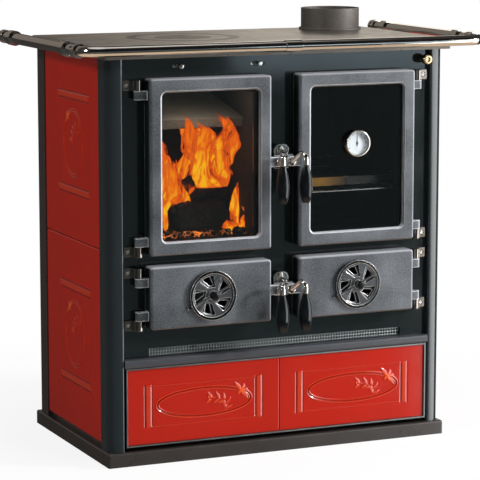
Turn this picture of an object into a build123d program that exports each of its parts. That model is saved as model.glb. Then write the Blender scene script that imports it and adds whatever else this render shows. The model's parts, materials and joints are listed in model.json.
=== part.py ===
"""Wood-burning cook stove with fire door, oven door, wood drawer and hand rail.

Millimetres, +Z up, the front faces -Y. The origin is on the floor, under the
middle of the overall width and depth.
"""
import math
import os

from build123d import *

os.makedirs("parts", exist_ok=True)

# Plinth and the stack of heights above it
plinth_depth = 456.0
plinth_height = 29.0
plinth_edge_radius = 4.0
drawer_floor_gap = 9.0
drawer_opening_height = 165.5
ledge_height = 18.0
grille_gap = 1.5
grille_height = 17.0
lower_door_gap = 44.0
lower_door_height = 130.0
door_gap = 22.5
upper_door_height = 360.0
top_strip_height = 55.5
hob_plate_thickness = 8.0

# Gaps between pieces
seat_gap = 0.3
slide_gap = 0.3
pin_clearance = 0.05
cut_overrun = 1.0

# Body shell
body_inset = 5.0
body_rear_inset = 23.0
sheet_thickness = 2.0
post_depth = 43.0
post_flange = 30.0
rear_sheet_thickness = 1.5
rear_sheet_border = 2.0

# Front pillars
pillar_setback = 6.0
pillar_width = 33.0
pillar_depth = 53.0
pillar_radius = 24.0
pillar_edge_radius = 4.0
pillar_wall = 2.5

# Side tiles, two on each side, with a raised frame on each
tile_thickness = 9.0
tile_setback = 2.0
tile_floor_gap = 11.0
tile_seam_rise = 8.5
tile_joint = 1.0
tile_top_clearance = 2.0
tile_edge_radius = 3.0
side_frame_length = 190.0
side_frame_height = 206.0
side_frame_offset = 12.0
frame_rib_width = 7.0
frame_rib_height = 1.6
oval_rib_width = 6.0
side_oval_end_margin = 24.0
side_oval_edge_margin = 29.0

# Front plate that carries the doors
facade_setback = 20.0
facade_thickness = 4.0
column_half_width = 32.0
upper_mouth_margin = 24.0
lower_mouth_margin = 18.0
mouth_corner_radius = 8.0

# Ledge over the drawer and the air grille
ledge_reach = 17.0
ledge_edge_radius = 5.0
grille_half_width = 290.0
grille_border = 4.0
grille_sheet = 1.5
grille_slot_width = 4.0
grille_slot_height = 11.0
grille_pitch = 10.0

# Doors
door_width = 268.0
door_reach = 20.0
door_depth = 34.0
door_wall = 9.0
door_face = 9.0
door_edge_radius = 6.0
window_side_margin = 26.0
window_top_margin = 28.0
window_corner_radius = 10.0
window_bevel = 3.0
glass_thickness = 4.0
glass_overlap = 5.0
gasket_width = 7.0
gasket_inset = 1.0

# Hinges
hinge_offset = 18.0
hinge_axis_setback = 4.0
hinge_barrel_radius = 7.5
hinge_pin_radius = 4.0
hinge_bracket_height = 21.0
hinge_bracket_reach = 28.0
hinge_bracket_overhang = 3.0
hinge_web_reach = 10.0
hinge_flange_thickness = 5.0
hinge_pillar_gap = 3.5
hinge_screw_radius = 4.5
hinge_screw_depth = 2.5
hinge_lug_height = 18.0
hinge_lug_radius = 8.0

# Latch lugs, handles and keepers
latch_pivot_x = 13.0
latch_lug_radius = 10.0
latch_lug_setback = 1.0
latch_lug_thickness = 10.0
latch_lug_root = 4.0
handle_shaft_radius = 5.0
handle_boss_radius = 9.0
handle_boss_length = 6.0
handle_arm_radius = 5.0
handle_elbow_radius = 11.0
handle_rise = 31.0
grip_x = 26.0
grip_standoff = 42.5
grip_radius = 13.5
grip_top_drop = 3.0
grip_length = 78.0
ferrule_radius = 6.0
ferrule_length = 14.0
cam_radius = 8.0
cam_thickness = 5.0
keeper_half_width = 4.0
keeper_pin_radius = 3.0
keeper_pin_rise = 12.5
keeper_pin_half_length = 21.0
keeper_nose_radius = 5.5
keeper_nose_rise = 17.0
keeper_nose_reach = 38.0
keeper_block_half_width = 17.0
keeper_block_depth = 18.0
keeper_block_drop = 16.0
keeper_block_rise = 34.0
keeper_block_radius = 13.0
grip_radius_shares = (0.42, 0.60, 0.88, 1.0, 0.90, 0.56)
grip_height_shares = (0.0, 0.12, 0.32, 0.54, 0.78, 1.0)

# Air registers on the lower doors
register_radius = 51.5
register_thickness = 4.5
register_rim_width = 6.0
register_rim_height = 2.5
register_window_outer = 41.0
register_window_inner = 17.0
register_window_angle = 46.0
register_window_lean = 16.0
register_windows = 5
register_port_angle = 24.0
register_port_lag = 11.0
register_port_outer = 39.0
register_port_inner = 20.0
register_spindle_radius = 4.0
register_knob_radius = 9.0
register_knob_length = 15.0
register_bar_radius = 2.5
register_bar_angle = 25.0
register_bar_overhang = 9.0
register_washer_radius = 8.0
register_washer_thickness = 2.0

# Oven thermometer
thermometer_radius = 28.0
thermometer_depth = 12.0
thermometer_rim = 3.5
thermometer_well = 8.0
thermometer_rise = 30.5
thermometer_stem_radius = 3.0
thermometer_stem_length = 40.0
thermometer_pivot_radius = 1.0
needle_length = 18.0
needle_tail = 6.0
needle_width = 1.8
needle_thickness = 1.0
needle_hub_radius = 2.6

# Firebox and oven boxes behind the front plate
box_side_margin = 8.0
box_wall = 4.0
box_rear_gap = 33.0
box_bottom_drop = 2.0
shelf_rise = 9.5
firebox_headroom = 52.0
oven_headroom = 70.0
oven_side_gap = 6.0
brick_thickness = 22.0
brick_height = 308.0
brick_front_gap = 6.0
grate_opening_margin = 38.0
grate_lap = 8.0
grate_thickness = 10.0
grate_slot_width = 10.0
grate_slot_pitch = 20.0
grate_slot_border = 14.0
baffle_thickness = 20.0
baffle_length = 190.0
baffle_setback = 62.0
baffle_rise = 266.0
baffle_tilt = 12.0
pan_wall = 1.5
pan_side_gap = 4.0
pan_height = 62.0
pan_rear_gap = 28.0
pan_handle_width = 90.0
pan_handle_reach = 14.0
runner_reach = 6.0
runner_height = 5.0
rack_rise = 94.0
rack_frame_radius = 2.5
rack_wire_radius = 1.8
rack_corner_radius = 9.0
rack_rear_gap = 34.0
rack_rods = 11
tray_rise = 124.0
tray_sink = 18.0
tray_rear_gap = 34.0
tray_rim = 12.0
tray_wall = 1.5

# Wood drawer
drawer_side_gap = 3.5
drawer_top_gap = 1.0
drawer_lip = 3.0
drawer_tile_thickness = 8.0
drawer_tile_recess = 4.0
drawer_back_thickness = 4.0
drawer_tile_joint = 1.0
drawer_tray_inset = 16.0
drawer_tray_lift = 6.0
drawer_tray_drop = 12.0
drawer_rear_gap = 23.0
drawer_wall = 1.5
drawer_frame_length = 256.0
drawer_frame_height = 92.0
drawer_oval_end_margin = 13.0
drawer_oval_edge_margin = 7.0
rail_strip_reach = 13.0
rail_strip_height = 3.0
rail_shelf_rise = 31.0
rail_shelf_thickness = 2.5
rail_web_height = 25.0
rail_shelf_lap = 7.0

# Hob
hob_side_reach = 10.5
hob_front_reach = 5.0
hob_rear_inset = 16.0
hob_skirt_height = 23.0
hob_skirt_thickness = 5.0
hob_corner_radius = 6.0
hob_edge_radius = 3.0
plate_side_border = 103.0
plate_flue_inset = 87.5
plate_front_setback = 81.0
plate_rear_inset = 51.0
plate_corner_radius = 12.0
lap_width = 8.0
lap_thickness = 6.0
ring_side_offset = 170.0
ring_front_border = 43.0
ring_rear_border = 37.0
ring_outer_width = 22.0
ring_inner_width = 38.5
lid_recess_length = 26.0
lid_recess_width = 9.0
lid_recess_depth = 4.0

# Flue collar
flue_side_inset = 96.0
flue_rear_inset = 91.5
flue_outer_radius = 65.0
flue_wall = 4.0
flue_height = 48.0
flue_flange_radius = 69.5
flue_flange_thickness = 5.0
flue_hole_radius = 59.0

# Flue damper and air slide
damper_side_inset = 45.5
damper_drop = 36.0
damper_knob_radius = 10.0
damper_knob_length = 17.0
damper_knob_reach = 8.0
damper_dimple_radius = 5.0
damper_dimple_depth = 4.0
damper_rod_radius = 3.5
damper_flap_width = 104.0
damper_flap_length = 115.0
damper_flap_thickness = 3.0
slide_pin_drop = 34.0
slide_pin_left = 220.0
slide_pin_right = 46.0
slide_pin_radius = 3.0
slide_knob_radius = 5.0
slide_knob_reach = 12.0
slide_travel = 12.0
slide_plate_border = 26.0
slide_plate_height = 24.0
slide_plate_thickness = 2.0

# Hand rail
rail_setforward = 51.6
rail_drop = 2.5
rail_radius = 11.0
rail_wall = 1.5
rail_bend_radius = 38.0
rail_side_gap = 54.0
rail_side_radius = 12.0
rail_joint_setback = 2.0
rail_side_inset = 1.0
rail_rear_reach = 16.0
rail_collar_radius = 14.5
rail_collar_length = 30.0
rail_collar_flutes = 12
rail_flute_radius = 2.0
rail_sleeve_radius = 12.5
rail_sleeve_length = 36.0
rail_bracket_width = 26.0
rail_bracket_ring = 16.0
rail_bracket_thickness = 10.0
rail_bracket_front_setback = 62.0
rail_bracket_rear_inset = 58.0

# Heights worked out from the stack
drawer_bottom = plinth_height + drawer_floor_gap
facade_bottom = drawer_bottom + drawer_opening_height
grille_bottom = facade_bottom + ledge_height + grille_gap
lower_door_bottom = grille_bottom + grille_height + lower_door_gap
upper_door_bottom = lower_door_bottom + lower_door_height + door_gap
frame_top = upper_door_bottom + upper_door_height + top_strip_height
hob_height = frame_top + hob_plate_thickness
tile_bottom = plinth_height + tile_floor_gap
tile_seam_height = upper_door_bottom + tile_seam_rise
shelf_height = upper_door_bottom + shelf_rise
firebox_top = frame_top - firebox_headroom
oven_top = frame_top - oven_headroom
rack_height = shelf_height + rack_rise
tray_height = shelf_height + tray_rise
rail_shelf_height = plinth_height + rail_shelf_rise
rail_z = hob_height - rail_drop
damper_z = frame_top - damper_drop
slide_pin_z = frame_top - slide_pin_drop

# Depths worked out from the front of the plinth
rail_rear_end = plinth_depth + rail_rear_reach
front_reach = door_reach + grip_standoff + grip_radius
front_y = front_reach - (front_reach + rail_rear_end) / 2
facade_y = front_y + facade_setback
facade_back_y = facade_y + facade_thickness
pillar_y = front_y + pillar_setback
hob_rear_y = front_y + plinth_depth - hob_rear_inset
flue_y = front_y + plinth_depth - flue_rear_inset

# Widths worked out from the doors
hinge_x = column_half_width + door_width + hinge_offset
pillar_inner_x = hinge_x + hinge_bracket_reach + hinge_pillar_gap
side_x = pillar_inner_x + pillar_width
plinth_width = 2 * (side_x + body_inset)
hob_half_width = side_x + hob_side_reach
rail_side_x = hob_half_width + rail_side_gap
flue_x = side_x - flue_side_inset
damper_x = side_x - damper_side_inset

# Cooking plate and its rings, placed in the hob
plate_left_x = plate_side_border - hob_half_width
plate_right_x = flue_x - plate_flue_inset
plate_front_y = front_y + plate_front_setback
plate_rear_y = front_y + plinth_depth - plate_rear_inset
ring_room = plate_rear_y - plate_front_y - ring_front_border - ring_rear_border
ring_outer_radius = ring_room / 2
ring_middle_radius = ring_outer_radius - ring_outer_width
lid_radius = ring_middle_radius - ring_inner_width
ring_x = plate_left_x + ring_side_offset
ring_y = plate_front_y + ring_front_border + ring_outer_radius

# Planes that several pieces share
tile_face_x = side_x - tile_setback
sheet_outer_x = tile_face_x - tile_thickness
sheet_inner_x = sheet_outer_x - sheet_thickness
body_rear_y = front_y + plinth_depth - body_rear_inset
post_front_y = body_rear_y - post_depth
door_y = front_y - door_reach
door_back_y = door_y + door_depth
door_inner_x = column_half_width
door_outer_x = column_half_width + door_width
door_mid_x = (door_inner_x + door_outer_x) / 2
hinge_y = front_y + hinge_axis_setback
glass_y = door_y + door_face
box_front_y = facade_back_y
box_back_y = body_rear_y - box_rear_gap


def block(x0, x1, y0, y1, z0, z1):
    """A box between two corners."""
    size = Box(abs(x1 - x0), abs(y1 - y0), abs(z1 - z0))
    return Pos((x0 + x1) / 2, (y0 + y1) / 2, (z0 + z1) / 2) * size


def rod_x(x0, x1, y, z, radius):
    """A round bar along X."""
    return Pos((x0 + x1) / 2, y, z) * Rot(0, 90, 0) * Cylinder(radius, abs(x1 - x0))


def rod_y(x, y0, y1, z, radius):
    """A round bar along Y."""
    return Pos(x, (y0 + y1) / 2, z) * Rot(90, 0, 0) * Cylinder(radius, abs(y1 - y0))


def rod_z(x, y, z0, z1, radius):
    """A round bar along Z."""
    return Pos(x, y, (z0 + z1) / 2) * Cylinder(radius, abs(z1 - z0))


def upright(points, z0, z1):
    """A prism on a plan outline."""
    face = Face(Wire(Polyline(*points, close=True).edges()))
    return Pos(0, 0, z0) * extrude(face, amount=z1 - z0)


def slab_y(x0, x1, z0, z1, y0, y1, radius):
    """A plate that faces -Y, with rounded corners."""
    plate = block(x0, x1, y0, y1, z0, z1)
    return fillet(plate.edges().filter_by(Axis.Y), radius)


def slab_z(x0, x1, y0, y1, z0, z1, radius):
    """A plate that lies flat, with rounded corners."""
    plate = block(x0, x1, y0, y1, z0, z1)
    return fillet(plate.edges().filter_by(Axis.Z), radius)


def mirrored(shape):
    """The same piece on the other side of the stove."""
    return mirror(shape, about=Plane.YZ)


def save(name, *solids):
    """Write one node, whose solids stay separate."""
    shape = solids[0] if len(solids) == 1 else Compound(children=list(solids))
    export_step(shape, f"parts/{name}.step")


def make_plinth():
    """Black base that sticks out a little all round."""
    half = plinth_width / 2
    base = block(-half, half, front_y, front_y + plinth_depth, 0, plinth_height)
    base = fillet(base.edges().filter_by(Axis.Z), plinth_edge_radius)
    return fillet(base.faces().sort_by(Axis.Z)[-1].edges(), plinth_edge_radius)


def pillar_outline(offset, back_y):
    """Plan of the right pillar, drawn in by an offset."""
    x0 = pillar_inner_x + offset
    x1 = side_x - offset
    y0 = pillar_y + offset
    outer = pillar_radius - offset
    inner = max(pillar_edge_radius - offset, pillar_edge_radius / 4)
    edges = [
        Line((x0, back_y), (x0, y0 + inner)),
        CenterArc((x0 + inner, y0 + inner), inner, 180, 90),
        Line((x0 + inner, y0), (x1 - outer, y0)),
        CenterArc((x1 - outer, y0 + outer), outer, 270, 90),
        Line((x1, y0 + outer), (x1, back_y)),
        Line((x1, back_y), (x0, back_y)),
    ]
    return Face(Wire(edges))


def make_front_pillar():
    """Right front pillar: a rounded steel channel, open at the back."""
    back_y = pillar_y + pillar_depth
    height = frame_top - plinth_height
    outer = extrude(pillar_outline(0, back_y), amount=height)
    hollow = extrude(pillar_outline(pillar_wall, back_y + cut_overrun), amount=height)
    clear_back = block(pillar_inner_x - cut_overrun, side_x - pillar_wall,
                       facade_y, back_y + cut_overrun, 0, height)
    return Pos(0, 0, plinth_height) * (outer - hollow - clear_back)


def make_side_panel():
    """Right side sheet, folded out to the rear post and in again at the back."""
    t = sheet_thickness
    points = [
        (sheet_inner_x, facade_back_y), (sheet_outer_x, facade_back_y),
        (sheet_outer_x, post_front_y), (side_x, post_front_y),
        (side_x, body_rear_y), (side_x - post_flange, body_rear_y),
        (side_x - post_flange, body_rear_y - t), (side_x - t, body_rear_y - t),
        (side_x - t, post_front_y + t), (sheet_inner_x, post_front_y + t),
    ]
    return upright(points, plinth_height, frame_top)


def oval_rib(half_length, half_height):
    """Flat oval band for the middle of a tile's frame."""
    w = oval_rib_width
    return Ellipse(half_length, half_height) - Ellipse(half_length - w, half_height - w)


def side_tile(z0, z1):
    """One glazed tile of the right side, with its raised frame."""
    y0 = pillar_y + pillar_depth + tile_joint / 2
    y1 = post_front_y - tile_joint / 2
    tile = block(sheet_outer_x, tile_face_x, y0, y1, z0, z1)
    tile = fillet(tile.faces().sort_by(Axis.X)[-1].edges(), tile_edge_radius)
    mid_y = (y0 + y1) / 2 - side_frame_offset
    mid_z = (z0 + z1) / 2
    reach = tile_face_x + frame_rib_height
    half_y, half_z = side_frame_length / 2, side_frame_height / 2
    w = frame_rib_width
    rib = block(tile_face_x, reach, mid_y - half_y, mid_y + half_y, mid_z - half_z, mid_z + half_z)
    rib -= block(tile_face_x - cut_overrun, reach + cut_overrun, mid_y - half_y + w,
                 mid_y + half_y - w, mid_z - half_z + w, mid_z + half_z - w)
    oval = oval_rib(half_y - w - side_oval_edge_margin, half_z - w - side_oval_end_margin)
    face = Plane(origin=(tile_face_x, mid_y, mid_z), x_dir=(0, 1, 0), z_dir=(1, 0, 0))
    return tile + rib + extrude(face * oval, amount=frame_rib_height)


def make_side_tiles():
    """The lower and the upper tile of the right side."""
    lower = side_tile(tile_bottom, tile_seam_height - tile_joint / 2)
    upper = side_tile(tile_seam_height + tile_joint / 2, frame_top - tile_top_clearance)
    return [lower, upper]


def make_rear_panel():
    """Plain sheet that closes the back."""
    half = side_x - rear_sheet_border
    return block(-half, half, body_rear_y, body_rear_y + rear_sheet_thickness,
                 plinth_height + rear_sheet_border, frame_top - rear_sheet_border)


def mouth(side, door_bottom, door_height, margin, y0, y1):
    """Opening behind a door, with rounded corners."""
    x0 = side * (door_inner_x + margin)
    x1 = side * (door_outer_x - margin)
    return slab_y(min(x0, x1), max(x0, x1), door_bottom + margin,
                  door_bottom + door_height - margin, y0, y1, mouth_corner_radius)


def make_front_plate():
    """Enamelled front with four mouths, the grille slot and the control holes."""
    half = sheet_inner_x
    plate = block(-half, half, facade_y, facade_back_y, facade_bottom, frame_top)
    y0, y1 = facade_y - cut_overrun, facade_back_y + cut_overrun
    for side in (-1, 1):
        plate -= mouth(side, upper_door_bottom, upper_door_height, upper_mouth_margin, y0, y1)
        plate -= mouth(side, lower_door_bottom, lower_door_height, lower_mouth_margin, y0, y1)
    plate -= block(-grille_half_width, grille_half_width, y0, y1,
                   grille_bottom, grille_bottom + grille_height)
    plate -= rod_y(damper_x, y0, y1, damper_z, damper_rod_radius + slide_gap)
    slot_radius = slide_pin_radius + slide_gap
    for pin_x in (slide_pin_left, slide_pin_right):
        slot = block(-pin_x - slide_travel, -pin_x + slide_travel, y0, y1,
                     slide_pin_z - slot_radius, slide_pin_z + slot_radius)
        for end_x in (-pin_x - slide_travel, -pin_x + slide_travel):
            slot += rod_y(end_x, y0, y1, slide_pin_z, slot_radius)
        plate -= slot
    return plate


def make_vent_grille():
    """Slotted sheet behind the long slot over the drawer."""
    half = grille_half_width + grille_border
    z0, z1 = grille_bottom - grille_border, grille_bottom + grille_height + grille_border
    sheet = block(-half, half, facade_back_y, facade_back_y + grille_sheet, z0, z1)
    count = int((2 * grille_half_width - grille_pitch) / grille_pitch)
    mid_z = grille_bottom + grille_height / 2
    slots = [Pos((i - (count - 1) / 2) * grille_pitch, facade_back_y, mid_z)
             * Box(grille_slot_width, 4 * grille_sheet, grille_slot_height) for i in range(count)]
    return sheet - slots


def make_ledge():
    """Strip over the drawer, rounded along its front."""
    half = pillar_inner_x - seat_gap
    ledge = block(-half, half, facade_y - ledge_reach, facade_y,
                  facade_bottom, facade_bottom + ledge_height)
    front_edges = ledge.faces().sort_by(Axis.Y)[0].edges().filter_by(Axis.X)
    return fillet(front_edges, ledge_edge_radius)


def hinge_levels(bottom, height):
    """Heights of the two brackets of a door, each with its direction to the lug."""
    high = bottom + height - hinge_bracket_overhang - hinge_bracket_height / 2
    low = bottom - hinge_bracket_overhang + hinge_bracket_height / 2
    return ((high, -1), (low, 1))


def hinge_bracket(level, direction):
    """Right-hand bracket: screwed flange, web and barrel, with a pin into the lug."""
    z0 = level - hinge_bracket_height / 2
    z1 = level + hinge_bracket_height / 2
    end_x = hinge_x + hinge_bracket_reach
    flange_y = facade_y - hinge_flange_thickness
    body = rod_z(hinge_x, hinge_y, z0, z1, hinge_barrel_radius)
    body += block(hinge_x - hinge_barrel_radius, hinge_x + hinge_web_reach, hinge_y, facade_y, z0, z1)
    flange = slab_y(hinge_x, end_x, z0, z1, flange_y, facade_y, hinge_screw_depth)
    screw_x = (hinge_x + hinge_web_reach + end_x) / 2
    flange -= rod_y(screw_x, flange_y - cut_overrun, flange_y + hinge_screw_depth, level,
                    hinge_screw_radius)
    start = z0 if direction < 0 else z1
    end = start + direction * (seat_gap + hinge_lug_height)
    return body + flange + rod_z(hinge_x, hinge_y, level, end, hinge_pin_radius)


def hinge_lug(level, direction):
    """Right-hand ear on a door, bored for the pin."""
    start = level + direction * (hinge_bracket_height / 2 + seat_gap)
    z0, z1 = sorted((start, start + direction * hinge_lug_height))
    lug = rod_z(hinge_x, hinge_y, z0, z1, hinge_lug_radius)
    lug += block(door_outer_x - door_wall, hinge_x, hinge_y - hinge_lug_radius,
                 hinge_y + hinge_lug_radius, z0, z1)
    hole = rod_z(hinge_x, hinge_y, z0 - cut_overrun, z1 + cut_overrun,
                 hinge_pin_radius + pin_clearance)
    return lug, hole


def make_hinge_brackets():
    """Eight chromed brackets, two for each door."""
    right = []
    for bottom, height in ((upper_door_bottom, upper_door_height),
                           (lower_door_bottom, lower_door_height)):
        right += [hinge_bracket(level, way) for level, way in hinge_levels(bottom, height)]
    return right + [mirrored(piece) for piece in right]


def door_pan(bottom, height):
    """Cast right-hand door: a shallow pan with hinge ears and a latch ear."""
    top = bottom + height
    pan = slab_y(door_inner_x, door_outer_x, bottom, top, door_y, door_back_y, door_edge_radius)
    pan = fillet(pan.faces().sort_by(Axis.Y)[0].edges(), door_edge_radius * 0.8)
    pan -= block(door_inner_x + door_wall, door_outer_x - door_wall, glass_y,
                 door_back_y + cut_overrun, bottom + door_wall, top - door_wall)
    for level, way in hinge_levels(bottom, height):
        lug, hole = hinge_lug(level, way)
        pan += lug
        pan -= hole
    pivot_z = bottom + height / 2
    lug_y = door_y + latch_lug_setback
    lug_back_y = lug_y + latch_lug_thickness
    ear = rod_y(latch_pivot_x, lug_y, lug_back_y, pivot_z, latch_lug_radius)
    ear += block(latch_pivot_x, door_inner_x + latch_lug_root, lug_y, lug_back_y,
                 pivot_z - latch_lug_radius, pivot_z + latch_lug_radius)
    pan += ear
    return pan - rod_y(latch_pivot_x, lug_y - cut_overrun, lug_back_y + cut_overrun, pivot_z,
                       handle_shaft_radius + pin_clearance)


def window_opening(y0, y1, grow):
    """Window of an upper door, grown all round."""
    return slab_y(door_inner_x + window_side_margin - grow, door_outer_x - window_side_margin + grow,
                  upper_door_bottom + window_top_margin - grow,
                  upper_door_bottom + upper_door_height - window_top_margin + grow,
                  y0, y1, window_corner_radius)


def make_upper_door():
    """Upper door frame with its bevelled window."""
    pan = door_pan(upper_door_bottom, upper_door_height)
    pan -= window_opening(door_y - cut_overrun, glass_y + cut_overrun, 0)
    front_edges = pan.edges().filter_by_position(Axis.Y, door_y - pin_clearance, door_y + pin_clearance)
    window = front_edges.filter_by_position(
        Axis.X, door_inner_x + window_side_margin / 2, door_outer_x - window_side_margin / 2)
    window = window.filter_by_position(
        Axis.Z, upper_door_bottom + window_top_margin / 2,
        upper_door_bottom + upper_door_height - window_top_margin / 2)
    return chamfer(window, window_bevel)


def make_door_glass():
    """Ceramic glass behind the window."""
    return window_opening(glass_y, glass_y + glass_thickness, glass_overlap)


def door_rim(bottom, height):
    """Band behind a door's edge that closes against the front plate."""
    x0, x1 = door_inner_x + gasket_inset, door_outer_x - gasket_inset
    z0 = bottom + gasket_inset
    z1 = bottom + height - gasket_inset
    w = gasket_width
    ring = slab_y(x0, x1, z0, z1, door_back_y, facade_y - seat_gap, door_edge_radius)
    return ring - block(x0 + w, x1 - w, door_back_y - cut_overrun, facade_y + cut_overrun,
                        z0 + w, z1 - w)


def sector(inner, outer, start, sweep, lean):
    """Window of a register: a ring sector whose sides lean."""
    a0, a1 = start, start + sweep
    b0, b1 = a0 + lean, a1 + lean

    def at(radius, angle):
        return (radius * math.cos(math.radians(angle)), radius * math.sin(math.radians(angle)))

    edges = [
        CenterArc((0, 0), inner, a0, sweep),
        Line(at(inner, a1), at(outer, b1)),
        CenterArc((0, 0), outer, b0, sweep),
        Line(at(outer, b0), at(inner, a0)),
    ]
    return Face(Wire(edges))


def register_center(side):
    """Middle of a lower door, as x and z."""
    return side * door_mid_x, lower_door_bottom + lower_door_height / 2


def register_cuts(x, z, y0, y1, inner, outer, start, sweep):
    """Five leaning sectors round a register's middle, as bars along Y."""
    step = 360 / register_windows
    cuts = []
    for i in range(register_windows):
        face = sector(inner, outer, start + i * step, sweep, register_window_lean)
        bar = extrude(face, amount=y1 - y0, dir=(0, 0, 1))
        cuts.append(Pos(x, y1, z) * Rot(90, 0, 0) * bar)
    return cuts


def make_lower_door(side):
    """Cast lower door with its sealing rim, pierced behind its register."""
    pan = door_pan(lower_door_bottom, lower_door_height)
    pan += door_rim(lower_door_bottom, lower_door_height)
    if side < 0:
        pan = mirrored(pan)
    x, z = register_center(side)
    y0, y1 = door_y - cut_overrun, glass_y + cut_overrun
    pan -= register_cuts(x, z, y0, y1, register_port_inner, register_port_outer,
                         register_port_lag, register_port_angle)
    return pan - rod_y(x, y0, y1, z, register_spindle_radius + pin_clearance)


def make_register(side):
    """Turning air disc with rim, leaning windows, cross bar, knob and spindle."""
    x, z = register_center(side)
    back_y = door_y - seat_gap
    face_y = back_y - register_thickness
    disc = rod_y(x, face_y, back_y, z, register_radius)
    rim = rod_y(x, face_y - register_rim_height, back_y, z, register_radius)
    rim -= rod_y(x, face_y - 2 * register_rim_height, back_y + cut_overrun, z,
                 register_radius - register_rim_width)
    disc += rim
    disc -= register_cuts(x, z, face_y - cut_overrun, back_y + cut_overrun,
                          register_window_inner, register_window_outer,
                          0, register_window_angle)
    knob_y = face_y - register_knob_length
    knob = rod_y(x, knob_y, face_y, z, register_knob_radius)
    knob = fillet(knob.edges().sort_by(Axis.Y)[0], register_knob_radius / 2)
    bar_length = 2 * register_radius - register_rim_width + register_bar_overhang
    bar_shift = -(register_rim_width + register_bar_overhang) / 2
    bar = Pos(x, face_y, z) * Rot(0, -register_bar_angle, 0) * Pos(bar_shift, 0, 0)
    disc += knob + bar * Rot(0, 90, 0) * Cylinder(register_bar_radius, bar_length)
    spindle_end = glass_y + seat_gap + register_washer_thickness
    disc += rod_y(x, face_y, spindle_end, z, register_spindle_radius)
    return disc + rod_y(x, glass_y + seat_gap, spindle_end, z, register_washer_radius)


def make_handle(pivot_z):
    """Right-hand handle arm: cam, shaft, boss, bent arm and ferrule."""
    lug_y = door_y + latch_lug_setback
    lug_back_y = lug_y + latch_lug_thickness
    boss_back_y = lug_y - seat_gap
    boss_front_y = boss_back_y - handle_boss_length
    grip_y = door_y - grip_standoff
    grip_top_z = pivot_z - grip_top_drop
    cam_y = lug_back_y + seat_gap
    arm = rod_y(latch_pivot_x, boss_front_y, boss_back_y, pivot_z, handle_boss_radius)
    arm = fillet(arm.edges().sort_by(Axis.Y)[0], handle_boss_length / 3)
    arm += rod_y(latch_pivot_x, boss_back_y, cam_y, pivot_z, handle_shaft_radius)
    arm += rod_y(latch_pivot_x, cam_y, cam_y + cam_thickness, pivot_z, cam_radius)
    path = FilletPolyline(
        (latch_pivot_x, boss_front_y + handle_boss_length / 3, pivot_z),
        (grip_x, grip_y, pivot_z + handle_rise),
        (grip_x, grip_y, grip_top_z), radius=handle_elbow_radius)
    start = path.edges()[0]
    plane = Plane(origin=start @ 0, z_dir=start % 0)
    arm += sweep(plane * Circle(handle_arm_radius), path=path)
    ferrule = rod_z(grip_x, grip_y, grip_top_z, grip_top_z + ferrule_length, ferrule_radius)
    return arm + fillet(ferrule.edges().sort_by(Axis.Z)[-1], ferrule_radius / 4)


def make_grip(pivot_z):
    """Spindle-shaped grip that hangs from the ferrule."""
    top_z = pivot_z - grip_top_drop
    shape = [(grip_radius * r, top_z - grip_length * h)
             for r, h in zip(grip_radius_shares, grip_height_shares)]
    side = Spline(*[(r, 0, z) for r, z in shape])
    top, bottom = shape[0], shape[-1]
    face = Face(Wire([
        side.edge(),
        Line((bottom[0], 0, bottom[1]), (0, 0, bottom[1])),
        Line((0, 0, bottom[1]), (0, 0, top[1])),
        Line((0, 0, top[1]), (top[0], 0, top[1])),
    ]))
    return Pos(grip_x, door_y - grip_standoff, 0) * revolve(face, Axis.Z)


def make_keeper(pivot_z):
    """Catch on the centre column: arched block, nose and a cross pin over the cams."""
    w, half = keeper_half_width, keeper_block_half_width
    nose_y = facade_y - keeper_nose_reach + keeper_nose_radius
    nose_z = pivot_z + keeper_nose_rise
    r = keeper_nose_radius
    pin_y = door_y + latch_lug_setback + latch_lug_thickness + seat_gap + cam_thickness / 2
    top_z = pivot_z + keeper_block_rise
    base = block(-half, half, facade_y - keeper_block_depth, facade_y,
                 pivot_z - keeper_block_drop, top_z)
    keeper = fillet(base.faces().sort_by(Axis.Z)[-1].edges().filter_by(Axis.Y),
                    keeper_block_radius)
    keeper += rod_x(-w, w, nose_y, nose_z, r)
    keeper += block(-w, w, nose_y, facade_y, nose_z - r, nose_z + r)
    return keeper + rod_x(-keeper_pin_half_length, keeper_pin_half_length, pin_y,
                          pivot_z + keeper_pin_rise, keeper_pin_radius)


def thermometer_center():
    """Middle of the thermometer on the oven door, as x and z."""
    return door_mid_x, upper_door_bottom + upper_door_height / 2 + thermometer_rise


def make_thermometer():
    """Dial thermometer: deep bezel, dial well, needle pivot and stem."""
    x, z = thermometer_center()
    front = glass_y - thermometer_depth
    case = rod_y(x, front, glass_y, z, thermometer_radius)
    case = fillet(case.edges().sort_by(Axis.Y)[0], thermometer_rim / 2)
    dial_y = front + thermometer_well
    case -= rod_y(x, front - cut_overrun, dial_y, z, thermometer_radius - thermometer_rim)
    case += rod_y(x, dial_y - 2 * needle_thickness - seat_gap, dial_y, z, thermometer_pivot_radius)
    return case + rod_y(x, glass_y, glass_y + thermometer_stem_length, z, thermometer_stem_radius)


def make_needle():
    """Needle on the thermometer's pivot."""
    x, z = thermometer_center()
    back = glass_y - thermometer_depth + thermometer_well - seat_gap
    front = back - needle_thickness
    half = needle_width / 2
    hub = rod_y(x, front, back, z, needle_hub_radius)
    blade = Face(Wire(Polyline((0, 0, needle_length), (half, 0, -needle_tail),
                               (-half, 0, -needle_tail), close=True).edges()))
    hub += Pos(x, front, z) * extrude(blade, amount=needle_thickness, dir=(0, 1, 0))
    return hub - rod_y(x, front - cut_overrun, back + cut_overrun, z,
                       thermometer_pivot_radius + pin_clearance)


def box_sides(gap):
    """Outer sides of the box behind the right-hand doors, drawn in by a gap."""
    return door_inner_x - box_side_margin + gap, door_outer_x + box_side_margin - gap


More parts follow.
